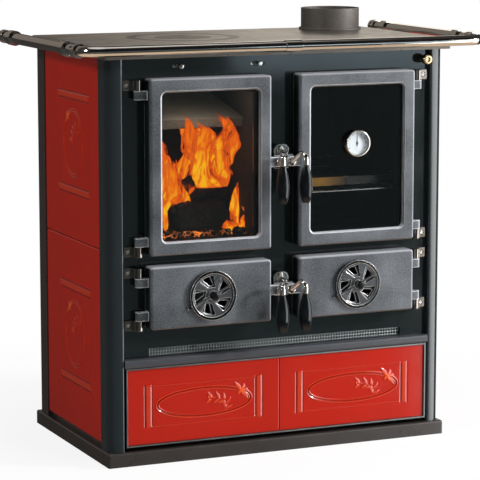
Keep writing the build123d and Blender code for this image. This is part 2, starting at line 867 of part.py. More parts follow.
def make_firebox_shell():
    """Welded box on the left: burning chamber over the ash chamber."""
    inner, outer = box_sides(0)
    x0, x1 = -outer, -inner
    z0 = lower_door_bottom - box_bottom_drop
    t = box_wall
    shell = block(x0, x1, box_front_y, box_back_y, z0, firebox_top)
    shell -= block(x0 + t, x1 - t, box_front_y - cut_overrun, box_back_y - t,
                   shelf_height + t, firebox_top + cut_overrun)
    shell -= block(x0 + t, x1 - t, box_front_y - cut_overrun, box_back_y - t,
                   z0 + t, shelf_height)
    m = grate_opening_margin
    return shell - block(x0 + m, x1 - m, box_front_y + m, box_back_y - m,
                         shelf_height - cut_overrun, shelf_height + t + cut_overrun)


def chamber_sides():
    """Inner faces of the burning chamber's steel, left and right."""
    inner, outer = box_sides(0)
    return -outer + box_wall, -inner - box_wall


def make_firebricks():
    """Left, right and back lining bricks."""
    x0, x1 = chamber_sides()
    y0 = box_front_y + brick_front_gap
    y1 = box_back_y - box_wall
    z0 = shelf_height + box_wall
    z1 = z0 + brick_height
    b = brick_thickness
    bricks = [block(x0, x0 + b, y0, y1, z0, z1), block(x1 - b, x1, y0, y1, z0, z1)]
    return bricks + [block(x0 + b, x1 - b, y1 - b, y1, z0, z1)]


def make_fire_grate():
    """Slotted iron grate on the shelf."""
    inner, outer = box_sides(0)
    m = grate_opening_margin - grate_lap
    x0, x1 = -outer + m, -inner - m
    y0, y1 = box_front_y + m, box_back_y - m
    z0 = shelf_height + box_wall
    grate = block(x0, x1, y0, y1, z0, z0 + grate_thickness)
    room = x1 - x0 - 2 * grate_slot_border
    count = int(room / grate_slot_pitch)
    mid_x, mid_y = (x0 + x1) / 2, (y0 + y1) / 2
    length = y1 - y0 - 2 * grate_slot_border
    slots = [Pos(mid_x + (i - (count - 1) / 2) * grate_slot_pitch, mid_y, z0)
             * Box(grate_slot_width, length, 4 * grate_thickness) for i in range(count)]
    return grate - slots


def make_baffle():
    """Leaning smoke baffle between the side bricks."""
    x0, x1 = chamber_sides()
    half = (x1 - x0) / 2 - brick_thickness - seat_gap
    mid_y = box_front_y + baffle_setback + baffle_length / 2
    mid_z = shelf_height + baffle_rise
    slab = Box(2 * half, baffle_length, baffle_thickness)
    return Pos((x0 + x1) / 2, mid_y, mid_z) * Rot(baffle_tilt, 0, 0) * slab


def make_ash_pan():
    """Open pan on the floor of the ash chamber."""
    x0 = -(door_outer_x - lower_mouth_margin - pan_side_gap)
    x1 = -(door_inner_x + lower_mouth_margin + pan_side_gap)
    y0, y1 = box_front_y + pan_handle_reach, box_back_y - box_wall - pan_rear_gap
    z0 = lower_door_bottom - box_bottom_drop + box_wall
    w = pan_wall
    pan = block(x0, x1, y0, y1, z0, z0 + pan_height)
    pan -= block(x0 + w, x1 - w, y0 + w, y1 - w, z0 + w, z0 + pan_height + cut_overrun)
    mid_x, mid_z = (x0 + x1) / 2, z0 + pan_height / 2
    pull = block(mid_x - pan_handle_width / 2, mid_x + pan_handle_width / 2,
                 y0 - pan_handle_reach, y0, mid_z - 2 * w, mid_z + 2 * w)
    return pan + fillet(pull.edges().filter_by(Axis.X), w)


def make_oven_box():
    """Oven with side runners over the smoke passage, on the right."""
    x0, x1 = box_sides(oven_side_gap)
    z0 = lower_door_bottom - box_bottom_drop
    t = box_wall
    shell = block(x0, x1, box_front_y, box_back_y, z0, oven_top)
    shell -= block(x0 + t, x1 - t, box_front_y - cut_overrun, box_back_y - t,
                   shelf_height + t, oven_top - t)
    shell -= block(x0 + t, x1 - t, box_front_y - cut_overrun, box_back_y - t,
                   z0 + t, shelf_height)
    for top in (rack_height, tray_height):
        for side_x0, side_x1 in ((x0, x0 + t + runner_reach), (x1 - t - runner_reach, x1)):
            shell += block(side_x0, side_x1, box_front_y + t, box_back_y - t / 2,
                           top - runner_height, top)
    return shell


def make_oven_rack():
    """Wire rack on the lower runners: a bent frame with straight wires across."""
    x0, x1 = box_sides(oven_side_gap + box_wall)
    r = rack_frame_radius
    z = rack_height + r
    x0, x1 = x0 + r + seat_gap, x1 - r - seat_gap
    y0, y1 = box_front_y + 2 * box_wall, box_back_y - box_wall - rack_rear_gap
    path = FilletPolyline((x0, y0, z), (x1, y0, z), (x1, y1, z), (x0, y1, z),
                          radius=rack_corner_radius, close=True)
    start = path.edges()[0]
    rack = sweep(Plane(origin=start @ 0, z_dir=start % 0) * Circle(r), path=path)
    for i in range(1, rack_rods - 1):
        x = x0 + (x1 - x0) * i / (rack_rods - 1)
        rack += rod_y(x, y0, y1, z, rack_wire_radius)
    return rack


def make_oven_tray():
    """Baking tray that hangs by its rim on the upper runners."""
    x0, x1 = box_sides(oven_side_gap + box_wall)
    x0, x1 = x0 + seat_gap, x1 - seat_gap
    y0, y1 = box_front_y + 2 * box_wall, box_back_y - box_wall - tray_rear_gap
    w, rim = tray_wall, tray_rim
    tray = block(x0, x1, y0, y1, tray_height, tray_height + w)
    tray += block(x0 + rim, x1 - rim, y0 + rim, y1 - rim, tray_height - tray_sink, tray_height)
    return tray - block(x0 + rim + w, x1 - rim - w, y0 + rim + w, y1 - rim - w,
                        tray_height - tray_sink + w, tray_height + w + cut_overrun)


def drawer_face():
    """Half width, bottom and top of the drawer's front."""
    return pillar_inner_x - drawer_side_gap, drawer_bottom, facade_bottom - drawer_top_gap


def make_drawer_front():
    """Thin metal frame that holds the two drawer tiles."""
    half, z0, z1 = drawer_face()
    pocket_y = pillar_y + drawer_tile_recess + drawer_tile_thickness
    pan = block(-half, half, pillar_y, pocket_y + drawer_back_thickness, z0, z1)
    lip = drawer_lip
    return pan - block(-half + lip, half - lip, pillar_y - cut_overrun, pocket_y,
                       z0 + lip, z1 - lip)


def make_drawer_tiles():
    """The two glazed tiles of the drawer's front."""
    half, z0, z1 = drawer_face()
    lip = drawer_lip
    y0 = pillar_y + drawer_tile_recess
    x0, x1 = drawer_tile_joint / 2, half - lip
    z0, z1 = z0 + lip, z1 - lip
    tile = block(x0, x1, y0, y0 + drawer_tile_thickness, z0, z1)
    tile = fillet(tile.faces().sort_by(Axis.Y)[0].edges(), tile_edge_radius / 2)
    mid_x, mid_z = (x0 + x1) / 2, (z0 + z1) / 2
    half_x, half_z = drawer_frame_length / 2, drawer_frame_height / 2
    w, h = frame_rib_width, frame_rib_height
    rib = block(mid_x - half_x, mid_x + half_x, y0 - h, y0, mid_z - half_z, mid_z + half_z)
    rib -= block(mid_x - half_x + w, mid_x + half_x - w, y0 - h - cut_overrun, y0 + cut_overrun,
                 mid_z - half_z + w, mid_z + half_z - w)
    oval = oval_rib(half_x - w - drawer_oval_end_margin, half_z - w - drawer_oval_edge_margin)
    face = Plane(origin=(mid_x, y0, mid_z), x_dir=(1, 0, 0), z_dir=(0, -1, 0))
    right = tile + rib + extrude(face * oval, amount=h)
    return [mirrored(right), right]


def tray_sides():
    """Half width, front, back, bottom and top of the drawer's tray."""
    half, z0, z1 = drawer_face()
    back = drawer_tile_recess + drawer_tile_thickness + drawer_back_thickness
    y0 = pillar_y + back
    return (half - drawer_tray_inset, y0, body_rear_y - drawer_rear_gap,
            z0 + drawer_tray_lift, z1 - drawer_tray_drop)


def make_drawer_tray():
    """Open steel tray with a strip along each side that rides on a runner."""
    half, y0, y1, z0, z1 = tray_sides()
    w = drawer_wall
    tray = block(-half, half, y0, y1, z0, z1)
    tray -= block(-half + w, half - w, y0 + w, y1 - w, z0 + w, z1 + cut_overrun)
    strip_z = rail_shelf_height + rail_shelf_thickness + slide_gap
    for side in (-1, 1):
        tray += block(side * (half - w), side * (half + rail_strip_reach), y0 + w, y1,
                      strip_z, strip_z + rail_strip_height)
    return tray


def make_drawer_runner():
    """Right-hand angle that carries the drawer."""
    half, y0, y1, _, _ = tray_sides()
    x0 = half + rail_strip_reach - rail_shelf_lap
    z0 = rail_shelf_height
    shelf = block(x0, sheet_inner_x, y0 + pillar_depth, y1, z0, z0 + rail_shelf_thickness)
    web = block(sheet_inner_x - rail_shelf_thickness, sheet_inner_x, y0 + pillar_depth, y1,
                z0, z0 + rail_web_height)
    return shelf + web


def make_hob_frame():
    """Cast top frame: skirt, opening with a lap for the main plate, flue hole."""
    y0, y1 = front_y - hob_front_reach, hob_rear_y
    half, skirt = hob_half_width, hob_skirt_thickness
    frame = slab_z(-half, half, y0, y1, hob_height - hob_skirt_height, hob_height, hob_corner_radius)
    frame = fillet(frame.faces().sort_by(Axis.Z)[-1].edges(), hob_edge_radius)
    frame -= block(-half + skirt, half - skirt, y0 + skirt, y1 - skirt,
                   hob_height - hob_skirt_height - cut_overrun, frame_top)
    px0, px1, py0, py1 = plate_left_x, plate_right_x, plate_front_y, plate_rear_y
    lap_z = frame_top - lap_thickness
    w = lap_width
    frame += slab_z(px0 - w, px1 + w, py0 - w, py1 + w, lap_z, frame_top, plate_corner_radius)
    frame -= slab_z(px0 + w, px1 - w, py0 + w, py1 - w, lap_z - cut_overrun,
                    hob_height + cut_overrun, plate_corner_radius)
    frame -= slab_z(px0, px1, py0, py1, frame_top, hob_height + cut_overrun, plate_corner_radius)
    return frame - rod_z(flue_x, flue_y, frame_top - cut_overrun,
                         hob_height + cut_overrun, flue_hole_radius)


def make_main_plate():
    """Loose cooking plate with the ring opening and its lap."""
    px0, px1, py0, py1 = plate_left_x, plate_right_x, plate_front_y, plate_rear_y
    g = seat_gap
    plate = slab_z(px0 + g, px1 - g, py0 + g, py1 - g, frame_top, hob_height, plate_corner_radius)
    x, y = ring_x, ring_y
    lap_z = frame_top - lap_thickness
    plate += rod_z(x, y, lap_z, frame_top, ring_outer_radius + lap_width)
    plate -= rod_z(x, y, lap_z - cut_overrun, hob_height + cut_overrun,
                   ring_outer_radius - lap_width)
    return plate - rod_z(x, y, frame_top, hob_height + cut_overrun, ring_outer_radius)


def hob_ring(outer, inner, seat_z):
    """Ring whose lower lip carries the next one in."""
    x, y = ring_x, ring_y
    g = seat_gap
    low = frame_top - lap_thickness
    ring = rod_z(x, y, seat_z, hob_height, outer - g)
    ring += rod_z(x, y, low, seat_z + g, outer - lap_width - g)
    ring -= rod_z(x, y, seat_z, hob_height + cut_overrun, inner)
    return ring - rod_z(x, y, low - cut_overrun, hob_height + cut_overrun, inner - lap_width)


def make_lid():
    """Centre lid with the slot for the lifter."""
    x, y = ring_x, ring_y
    g = seat_gap
    lid = rod_z(x, y, frame_top + 3 * g, hob_height, lid_radius - g)
    slot = Pos(x, y, hob_height) * Box(lid_recess_length, lid_recess_width, 2 * lid_recess_depth)
    return lid - slot


def make_flue_collar():
    """Round pipe collar with a flange, over the flue hole."""
    x, y = flue_x, flue_y
    top = hob_height + flue_height
    collar = rod_z(x, y, hob_height, top, flue_outer_radius)
    flange = rod_z(x, y, hob_height, hob_height + flue_flange_thickness, flue_flange_radius)
    collar += fillet(flange.edges().sort_by(Axis.Z)[-1], flue_flange_thickness / 3)
    return collar - rod_z(x, y, hob_height - cut_overrun, top + cut_overrun,
                          flue_outer_radius - flue_wall)


def make_damper():
    """Pull knob, rod and flap under the flue hole."""
    knob_y = front_y - damper_knob_reach
    knob_end = knob_y + damper_knob_length
    knob = rod_y(damper_x, knob_y, knob_end, damper_z, damper_knob_radius)
    knob = fillet(knob.edges(), damper_knob_radius / 4)
    knob -= rod_y(damper_x, knob_y - cut_overrun, knob_y + damper_dimple_depth, damper_z,
                  damper_dimple_radius)
    flap_y1 = flue_y + damper_flap_length / 2
    flap_y0 = flap_y1 - damper_flap_length
    rod = rod_y(damper_x, knob_end, flap_y1, damper_z, damper_rod_radius)
    flap = block(damper_x - damper_flap_width, damper_x, flap_y0, flap_y1,
                 damper_z - damper_flap_thickness / 2, damper_z + damper_flap_thickness / 2)
    return knob + rod + flap


def make_air_slide():
    """Air slide behind the front plate, moved by two pins through slots."""
    y0 = facade_back_y + slide_gap
    y1 = y0 + slide_plate_thickness
    half = slide_plate_height / 2
    slide = block(-slide_pin_left - slide_plate_border, -slide_pin_right + slide_plate_border,
                  y0, y1, slide_pin_z - half, slide_pin_z + half)
    knob_y = facade_y - slide_knob_reach
    for pin_x in (slide_pin_left, slide_pin_right):
        slide += rod_y(-pin_x, knob_y, y1, slide_pin_z, slide_pin_radius)
        knob = rod_y(-pin_x, knob_y, knob_y + slide_knob_radius, slide_pin_z, slide_knob_radius)
        slide += fillet(knob.edges(), slide_knob_radius / 3)
    return slide


def make_front_rail():
    """Right half of the front rail, bent back to the side bar."""
    y = front_y - rail_setforward
    path = FilletPolyline(
        (0, y, rail_z), (rail_side_x, y, rail_z),
        (rail_side_x, front_y + rail_joint_setback, rail_z), radius=rail_bend_radius)
    section = Circle(rail_radius) - Circle(rail_radius - rail_wall)
    return sweep(Plane.YZ.offset(0) * Pos(y, rail_z) * section, path=path)


def make_side_rail():
    """Right side bar."""
    y0 = front_y + rail_joint_setback + seat_gap
    y1 = front_y + plinth_depth - rail_side_inset
    bar = rod_y(rail_side_x, y0, y1, rail_z, rail_side_radius)
    return bar - rod_y(rail_side_x, y0 - cut_overrun, y1 + cut_overrun, rail_z,
                       rail_side_radius - rail_wall)


def make_rail_sleeve():
    """Short sleeve over the joint in the middle of the front rail."""
    half = rail_sleeve_length / 2
    y = front_y - rail_setforward
    sleeve = rod_x(-half, half, y, rail_z, rail_sleeve_radius)
    return sleeve - rod_x(-half - cut_overrun, half + cut_overrun, y, rail_z,
                          rail_radius + pin_clearance)


def make_front_collar():
    """Fluted collar where the front rail meets the right side bar."""
    mid_y = front_y + rail_joint_setback
    half = rail_collar_length / 2
    collar = rod_y(rail_side_x, mid_y - half, mid_y + half, rail_z, rail_collar_radius)
    ends = rail_collar_length / 6
    flutes = []
    for i in range(rail_collar_flutes):
        turn = math.radians(360 * i / rail_collar_flutes)
        flutes.append(rod_y(rail_side_x + rail_collar_radius * math.cos(turn), mid_y - half + ends,
                            mid_y + half - ends, rail_z + rail_collar_radius * math.sin(turn),
                            rail_flute_radius))
    collar -= flutes
    collar -= rod_y(rail_side_x, mid_y - half - cut_overrun, mid_y + cut_overrun, rail_z,
                    rail_radius + pin_clearance)
    return collar - rod_y(rail_side_x, mid_y, mid_y + half + cut_overrun, rail_z,
                          rail_side_radius + pin_clearance)


def make_rear_cap():
    """Domed end cap of the right side bar."""
    end_y = front_y + rail_rear_end
    y0 = end_y - rail_collar_length
    seat_y = front_y + plinth_depth - rail_side_inset
    cap = rod_y(rail_side_x, y0, end_y, rail_z, rail_collar_radius)
    cap = fillet(cap.edges().sort_by(Axis.Y)[-1], rail_collar_radius * 0.6)
    groove = rod_y(rail_side_x, y0 + rail_collar_length / 3, y0 + rail_collar_length / 2, rail_z,
                   rail_collar_radius + cut_overrun)
    groove -= rod_y(rail_side_x, y0, end_y, rail_z, (rail_collar_radius + rail_side_radius) / 2)
    cap -= groove
    return cap - rod_y(rail_side_x, y0 - cut_overrun, seat_y, rail_z,
                       rail_side_radius + pin_clearance)


def make_rail_bracket(mid_y):
    """Bracket from the hob's edge to a ring round the right side bar."""
    y0 = mid_y - rail_bracket_width / 2
    y1 = y0 + rail_bracket_width
    t = rail_bracket_thickness / 2
    bracket = rod_y(rail_side_x, y0, y1, rail_z, rail_bracket_ring)
    web_z = hob_height - hob_skirt_height / 2
    arm = Face(Wire(Polyline(
        (hob_half_width, 0, web_z + t), (hob_half_width, 0, web_z - t),
        (rail_side_x, 0, rail_z - rail_bracket_ring / 2 - t),
        (rail_side_x, 0, rail_z), close=True).edges()))
    bracket += Pos(0, y0, 0) * extrude(arm, amount=rail_bracket_width, dir=(0, 1, 0))
    return bracket - rod_y(rail_side_x, y0 - cut_overrun, y1 + cut_overrun, rail_z,
                           rail_side_radius + pin_clearance)


# Body
save("plinth", make_plinth())
pillar = make_front_pillar()
save("front_pillar_right", pillar)
save("front_pillar_left", mirrored(pillar))
panel = make_side_panel()
save("side_panel_right", panel)
save("side_panel_left", mirrored(panel))
tiles = make_side_tiles()
save("side_tiles_right", *tiles)
save("side_tiles_left", *[mirrored(tile) for tile in tiles])
save("rear_panel", make_rear_panel())
save("front_plate", make_front_plate())
save("vent_grille", make_vent_grille())
save("drawer_ledge", make_ledge())
save("hinge_brackets", *make_hinge_brackets())

# Doors with their glass, seals, handles and registers
upper_door = make_upper_door()
glass = make_door_glass()
x_stem, z_stem = thermometer_center()
stem_hole = rod_y(x_stem, glass_y - cut_overrun, glass_y + glass_thickness + cut_overrun, z_stem,
                  thermometer_stem_radius + seat_gap)
gasket = door_rim(upper_door_bottom, upper_door_height)
save("oven_door_frame", upper_door)
save("fire_door_frame", mirrored(upper_door))
save("oven_door_glass", glass - stem_hole)
save("fire_door_glass", mirrored(glass))
save("oven_door_gasket", gasket)
save("fire_door_gasket", mirrored(gasket))
save("soot_door_panel", make_lower_door(1))
save("ash_door_panel", make_lower_door(-1))
save("soot_door_register", make_register(1))
save("ash_door_register", make_register(-1))
for upper, names in ((True, ("oven_door", "fire_door")), (False, ("soot_door", "ash_door"))):
    door_bottom = upper_door_bottom if upper else lower_door_bottom
    door_height = upper_door_height if upper else lower_door_height
    pivot = door_bottom + door_height / 2
    handle, grip = make_handle(pivot), make_grip(pivot)
    save(f"{names[0]}_handle", handle)
    save(f"{names[1]}_handle", mirrored(handle))
    save(f"{names[0]}_grip", grip)
    save(f"{names[1]}_grip", mirrored(grip))
save("latch_keepers", *[make_keeper(bottom + height / 2) for bottom, height in (
    (upper_door_bottom, upper_door_height), (lower_door_bottom, lower_door_height))])
save("oven_thermometer", make_thermometer())
save("thermometer_needle", make_needle())

# Inside
save("firebox_shell", make_firebox_shell())
save("firebricks", *make_firebricks())
save("fire_grate", make_fire_grate())
save("smoke_baffle", make_baffle())
save("ash_pan", make_ash_pan())
save("oven_box", make_oven_box())
save("oven_rack", make_oven_rack())
save("oven_tray", make_oven_tray())

# Wood drawer
save("drawer_front_frame", make_drawer_front())
save("drawer_tiles", *make_drawer_tiles())
save("drawer_tray", make_drawer_tray())
runner = make_drawer_runner()
save("drawer_runners", runner, mirrored(runner))

# Hob, flue and controls
save("hob_frame", make_hob_frame())
save("hob_main_plate", make_main_plate())
save("hob_ring_outer", hob_ring(ring_outer_radius, ring_middle_radius, frame_top + seat_gap))
save("hob_ring_inner", hob_ring(ring_middle_radius, lid_radius, frame_top + 2 * seat_gap))
save("hob_lid", make_lid())
save("flue_collar", make_flue_collar())
save("flue_damper", make_damper())
save("air_slide", make_air_slide())

# Hand rail
front_rail = make_front_rail()
save("rail_front_right", front_rail)
save("rail_front_left", mirrored(front_rail))
side_rail = make_side_rail()
save("rail_side_right", side_rail)
save("rail_side_left", mirrored(side_rail))
save("rail_sleeve", make_rail_sleeve())
collar, cap = make_front_collar(), make_rear_cap()
save("rail_collars", collar, mirrored(collar), cap, mirrored(cap))
brackets = [make_rail_bracket(front_y + rail_bracket_front_setback),
            make_rail_bracket(front_y + plinth_depth - rail_bracket_rear_inset)]
save("rail_brackets", *brackets, *[mirrored(piece) for piece in brackets])
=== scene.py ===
# %% [markdown]
# # A wood-burning cook stove, step by step
# The CAD model gives every piece its place. This script gives each piece its
# looks: glazed tiles with relief, grained cast iron, gloss enamel, chrome, a
# live fire behind the glass, and a soft studio round it.
# All lengths are metres unless a name ends in _MM. The front faces -Y.

# %% Load the frame
import json
import math

import bmesh
import bpy
import numpy as np
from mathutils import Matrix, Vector, noise


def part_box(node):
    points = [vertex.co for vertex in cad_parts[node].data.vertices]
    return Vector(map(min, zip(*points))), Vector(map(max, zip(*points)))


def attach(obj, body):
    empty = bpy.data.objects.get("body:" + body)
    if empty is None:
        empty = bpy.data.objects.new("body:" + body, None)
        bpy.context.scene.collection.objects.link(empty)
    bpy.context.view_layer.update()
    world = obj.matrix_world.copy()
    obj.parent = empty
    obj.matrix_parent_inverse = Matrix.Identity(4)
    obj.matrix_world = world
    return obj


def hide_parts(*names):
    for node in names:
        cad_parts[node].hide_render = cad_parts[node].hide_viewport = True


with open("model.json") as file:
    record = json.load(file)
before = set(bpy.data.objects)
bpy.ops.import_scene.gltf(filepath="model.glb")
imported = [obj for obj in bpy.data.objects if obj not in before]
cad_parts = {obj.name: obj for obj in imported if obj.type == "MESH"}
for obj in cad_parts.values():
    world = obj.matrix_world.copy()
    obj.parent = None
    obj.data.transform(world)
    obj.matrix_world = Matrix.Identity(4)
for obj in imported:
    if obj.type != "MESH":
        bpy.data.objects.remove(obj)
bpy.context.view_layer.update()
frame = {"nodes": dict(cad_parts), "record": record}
nodes = frame["nodes"]
MM = 0.001

# %% [markdown]
# ## Small tools for node trees
# A material is a tree of nodes whose outputs feed other nodes' inputs. Made
# one link at a time it gets long. With these tools one line makes a node and
# names what each input gets: a value, a colour, an output, or a whole node,
# which stands for its first output. An output knows the tree that it is in.

# %% Node tools
M = {}


def feed(socket, value):
    """Give an input a value or colour, or join it to a node or to an output."""
    if isinstance(value, bpy.types.Node):
        value = value.outputs[0]
    if isinstance(value, bpy.types.NodeSocket):
        socket.id_data.links.new(value, socket)
    elif socket.type == "RGBA":
        socket.default_value = (*value, 1.0)
    else:
        socket.default_value = value


def set_inputs(node, **inputs):
    """Feed inputs by name; a name in lower case is one of the node's settings."""
    for name, value in inputs.items():
        if name.islower():
            setattr(node, name, value)
        else:
            feed(node.inputs[name.replace("_", " ")], value)
    return node


def add_node(tree, kind, **inputs):
    """A new node with its settings and inputs."""
    return set_inputs(tree.nodes.new(kind), **inputs)


def new_material(name, color, **inputs):
    """A material with one Principled shader, kept in M; returns the shader."""
    M[name] = bpy.data.materials.new(name)
    M[name].use_nodes = True
    return set_inputs(M[name].node_tree.nodes["Principled BSDF"], Base_Color=color, **inputs)


def math_node(operation, first, second=0.5):
    """A maths node on an output and a number, or on two outputs."""
    known = second if isinstance(first, float) else first
    node = add_node(known.id_data, "ShaderNodeMath", operation=operation)
    feed(node.inputs[0], first)
    feed(node.inputs[1], second)
    return node.outputs[0]


def product(first, *others):
    """The product of outputs."""
    for other in others:
        first = math_node("MULTIPLY", first, other)
    return first


def map_range(value, from_min, from_max, to_min=0.0, to_max=1.0):
    """Rescale a value and clamp it."""
    return add_node(value.id_data, "ShaderNodeMapRange", Value=value, From_Min=from_min,
                    From_Max=from_max, To_Min=to_min, To_Max=to_max).outputs["Result"]


def mix_colors(factor, first, second):
    """Blend of two colours; each may be a colour or an output."""
    mix = add_node(factor.id_data, "ShaderNodeMix", data_type="RGBA", Factor=factor)
    for socket, value in zip([s for s in mix.inputs if s.type == "RGBA"], (first, second)):
        feed(socket, value)
    return next(s for s in mix.outputs if s.type == "RGBA")


def coordinates(tree, output="Object"):
    """An output of the Texture Coordinate node."""
    return tree.nodes.new("ShaderNodeTexCoord").outputs[output]


def axes_of(tree, output="Object"):
    """X, Y and Z of coordinates or of a normal."""
    return tuple(add_node(tree, "ShaderNodeSeparateXYZ", Vector=coordinates(tree, output)).outputs)


def object_noise(tree, scale, detail=3.0, roughness=0.55):
    """Noise on the object's own coordinates."""
    return add_node(tree, "ShaderNodeTexNoise", Vector=coordinates(tree), Scale=scale,
                    Detail=detail, Roughness=roughness).outputs["Fac"]


print("node tools ready")

# %% [markdown]
# ## Shared surface effects
# Real surfaces are never one flat colour. Three node groups serve many
# materials: the grain of cast iron, edges that catch the light with a mask
# for an edge colour of their own, and an uneven gloss. Each group puts out
# plain values, so every material decides how to use them.

# %% Grain, edges and gloss
# The kind of socket that takes each type of value.
SOCKETS = {int: "Int", float: "Float", tuple: "Vector", bpy.types.Material: "Material",
           type(None): "Geometry"}


def new_tree(kind, name, outputs, **inputs):
    """An empty node tree; returns it, its inputs' sockets and its end."""
    tree = bpy.data.node_groups.new(name, kind)
    for label, value in inputs.items():
        item = tree.interface.new_socket(label.replace("_", " "), in_out="INPUT",
                                         socket_type="NodeSocket" + SOCKETS[type(value)])
        if value is not None:
            item.default_value = value
    for label, value in outputs.items():
        tree.interface.new_socket(label, in_out="OUTPUT", socket_type="NodeSocket" + value)
    return tree, tree.nodes.new("NodeGroupInput").outputs, tree.nodes.new("NodeGroupOutput")


def make_edge_group():
    """Rounded normals at sharp edges, and a mask that is 1 where they turn."""
    tree, inside, out = new_tree("ShaderNodeTree", "edges", {"Normal": "Vector", "Mask": "Float"},
                                 Radius=1.0 * MM)
    bevel = add_node(tree, "ShaderNodeBevel", samples=6, Radius=inside["Radius"])
    turn = add_node(tree, "ShaderNodeVectorMath", operation="DOT_PRODUCT")
    feed(turn.inputs[0], bevel)
    feed(turn.inputs[1], tree.nodes.new("ShaderNodeNewGeometry").outputs["Normal"])
    set_inputs(out, Normal=bevel, Mask=map_range(turn.outputs["Value"], 0.992, 0.88))
    return tree


def make_grain_group():
    """Sand-cast grain: a mask of fine and broad noise, and a height."""
    tree, inside, out = new_tree("ShaderNodeTree", "cast_grain",
                                 {"Mask": "Float", "Height": "Float"}, Scale=900.0)
    fine = object_noise(tree, inside["Scale"], 3.0, 0.6)
    total = math_node("ADD", fine, object_noise(tree, 9.0, 4.0))
    set_inputs(out, Mask=map_range(total, 0.7, 1.3), Height=fine)
    return tree


def make_gloss_group():
    """Slow clouds in a roughness value."""
    tree, inside, out = new_tree("ShaderNodeTree", "uneven_gloss", {"Roughness": "Float"},
                                 Low=0.1, High=0.25, Scale=14.0)
    cloud = object_noise(tree, inside["Scale"], 5.0, 0.6)
    set_inputs(out, Roughness=map_range(cloud, 0.3, 0.7, inside["Low"], inside["High"]))
    return tree


def use_group(tree, group, **inputs):
    """Place a shared group in a material; returns its outputs."""
    return add_node(tree, "ShaderNodeGroup", node_tree=group, **inputs).outputs


EDGES, GRAIN, GLOSS = make_edge_group(), make_grain_group(), make_gloss_group()
print("shared groups:", EDGES.name, GRAIN.name, GLOSS.name)

# %% [markdown]
# ## Finishes
# Four makers' finishes cover most of the stove: painted cast iron, fired
# enamel, plated or bare metal, and the red majolica glaze of the tiles. Each
# has one function, so a whole family of parts stays alike and only the
# numbers differ. Some parts are painted by place as well: the door fronts get
# painted highlights on edges facing up and edges facing right, a painted warm
# reflection on edges facing down, and painted shade on their side walls and
# under the registers; the registers' rims are black; and the baking tray's
# amber is painted warm light, with painted shade at its right end. Such a
# paint is a function of where the surface lies.

# %% Paint by place
DOOR_FRONT_Y = -213.0 * MM
DOOR_OUTER = 300.0 * MM
REGISTER_X = 168.2 * MM
REGISTER_Z = 349.0 * MM
WINDOWS_END = 44.6 * MM
KNOB_RADIUS = 10.0 * MM
KNOB_BASE_Y = -224.0 * MM
# Where the tray's painted shade runs from none to full black.
TRAY_SHADE_FROM, TRAY_SHADE_TO = 110.0 * MM, 175.0 * MM
FADE = 0.6 * MM
# Colour of the painted shade on the doors' side walls and on the pan under the registers.
PAINTED_SHADE = (0.006, 0.009, 0.009)


def register_distance(tree):
    """Distance to the nearer register's middle; both lie alike about the middle."""
    x, _, z = axes_of(tree)
    across = math_node("SUBTRACT", math_node("ABSOLUTE", x), REGISTER_X)
    rise = math_node("SUBTRACT", z, REGISTER_Z)
    square = math_node("ADD", product(across, across), product(rise, rise))
    return math_node("SQRT", square)


def door_painted_light(tree, body):
    """Painted light on a door's front: highlights on edges facing up and edges facing right, a
    warm reflection on edges facing down, and painted shade on the side walls and on the pan under
    each register.
    """
    facing_x, _, facing_z = axes_of(tree, "Normal")
    x, y, _ = axes_of(tree)
    across = math_node("ABSOLUTE", x)
    # Painted shade: black on the door's side walls, but not on faces that look up nor on the lugs
    # outside the door.
    wall = product(map_range(y, DOOR_FRONT_Y, DOOR_FRONT_Y + 8 * MM),
                   map_range(across, DOOR_OUTER + 1 * MM, DOOR_OUTER),
                   map_range(facing_z, 0.6, 0.2))
    # Painted shade: black on the pan seen through the register's windows.
    register_window_shade = map_range(register_distance(tree), WINDOWS_END, WINDOWS_END - FADE)
    # Painted highlights on edges that face right and edges that face up, and a painted warm
    # reflection on edges that face down.
    for facing, start, end, tint in ((facing_x, 0.15, 0.75, (0.42, 0.43, 0.47)),
                                     (facing_z, 0.15, 0.80, (0.46, 0.47, 0.51)),
                                     (facing_z, -0.25, -0.80, (0.11, 0.075, 0.055))):
        body = mix_colors(map_range(facing, start, end), body, tint)
    return mix_colors(math_node("MAXIMUM", wall, register_window_shade), body, PAINTED_SHADE)


def blackened_rim(tree, body):
    """A register's rim and knob are black."""
    radius = register_distance(tree)
    rim = map_range(radius, WINDOWS_END, WINDOWS_END + 0.8 * MM)
    knob = product(map_range(radius, KNOB_RADIUS, KNOB_RADIUS - FADE),
                   map_range(axes_of(tree)[1], KNOB_BASE_Y, KNOB_BASE_Y - 2 * MM))
    return mix_colors(math_node("MAXIMUM", rim, knob), body, (0.006, 0.007, 0.008))


def tray_painted_shade(tree, body):
    """Painted shade: the tray darkens to black towards its right end."""
    right_end_shade = map_range(axes_of(tree)[0], TRAY_SHADE_FROM, TRAY_SHADE_TO)
    return mix_colors(right_end_shade, body, (0.006, 0.005, 0.004))


print("registers at", (REGISTER_X, REGISTER_Z))

# %% Finish builders


def dress(shader, color, gloss, height, rise, strength, **under):
    """Give a shader its colour, an uneven gloss (low, high, scale) and a bumped normal."""
    tree = shader.id_data
    uneven = use_group(tree, GLOSS, Low=gloss[0], High=gloss[1], Scale=gloss[2])
    bump = add_node(tree, "ShaderNodeBump", Height=height, Distance=rise, Strength=strength,
                    **under)
    set_inputs(shader, Base_Color=color, Roughness=uneven["Roughness"], Normal=bump)


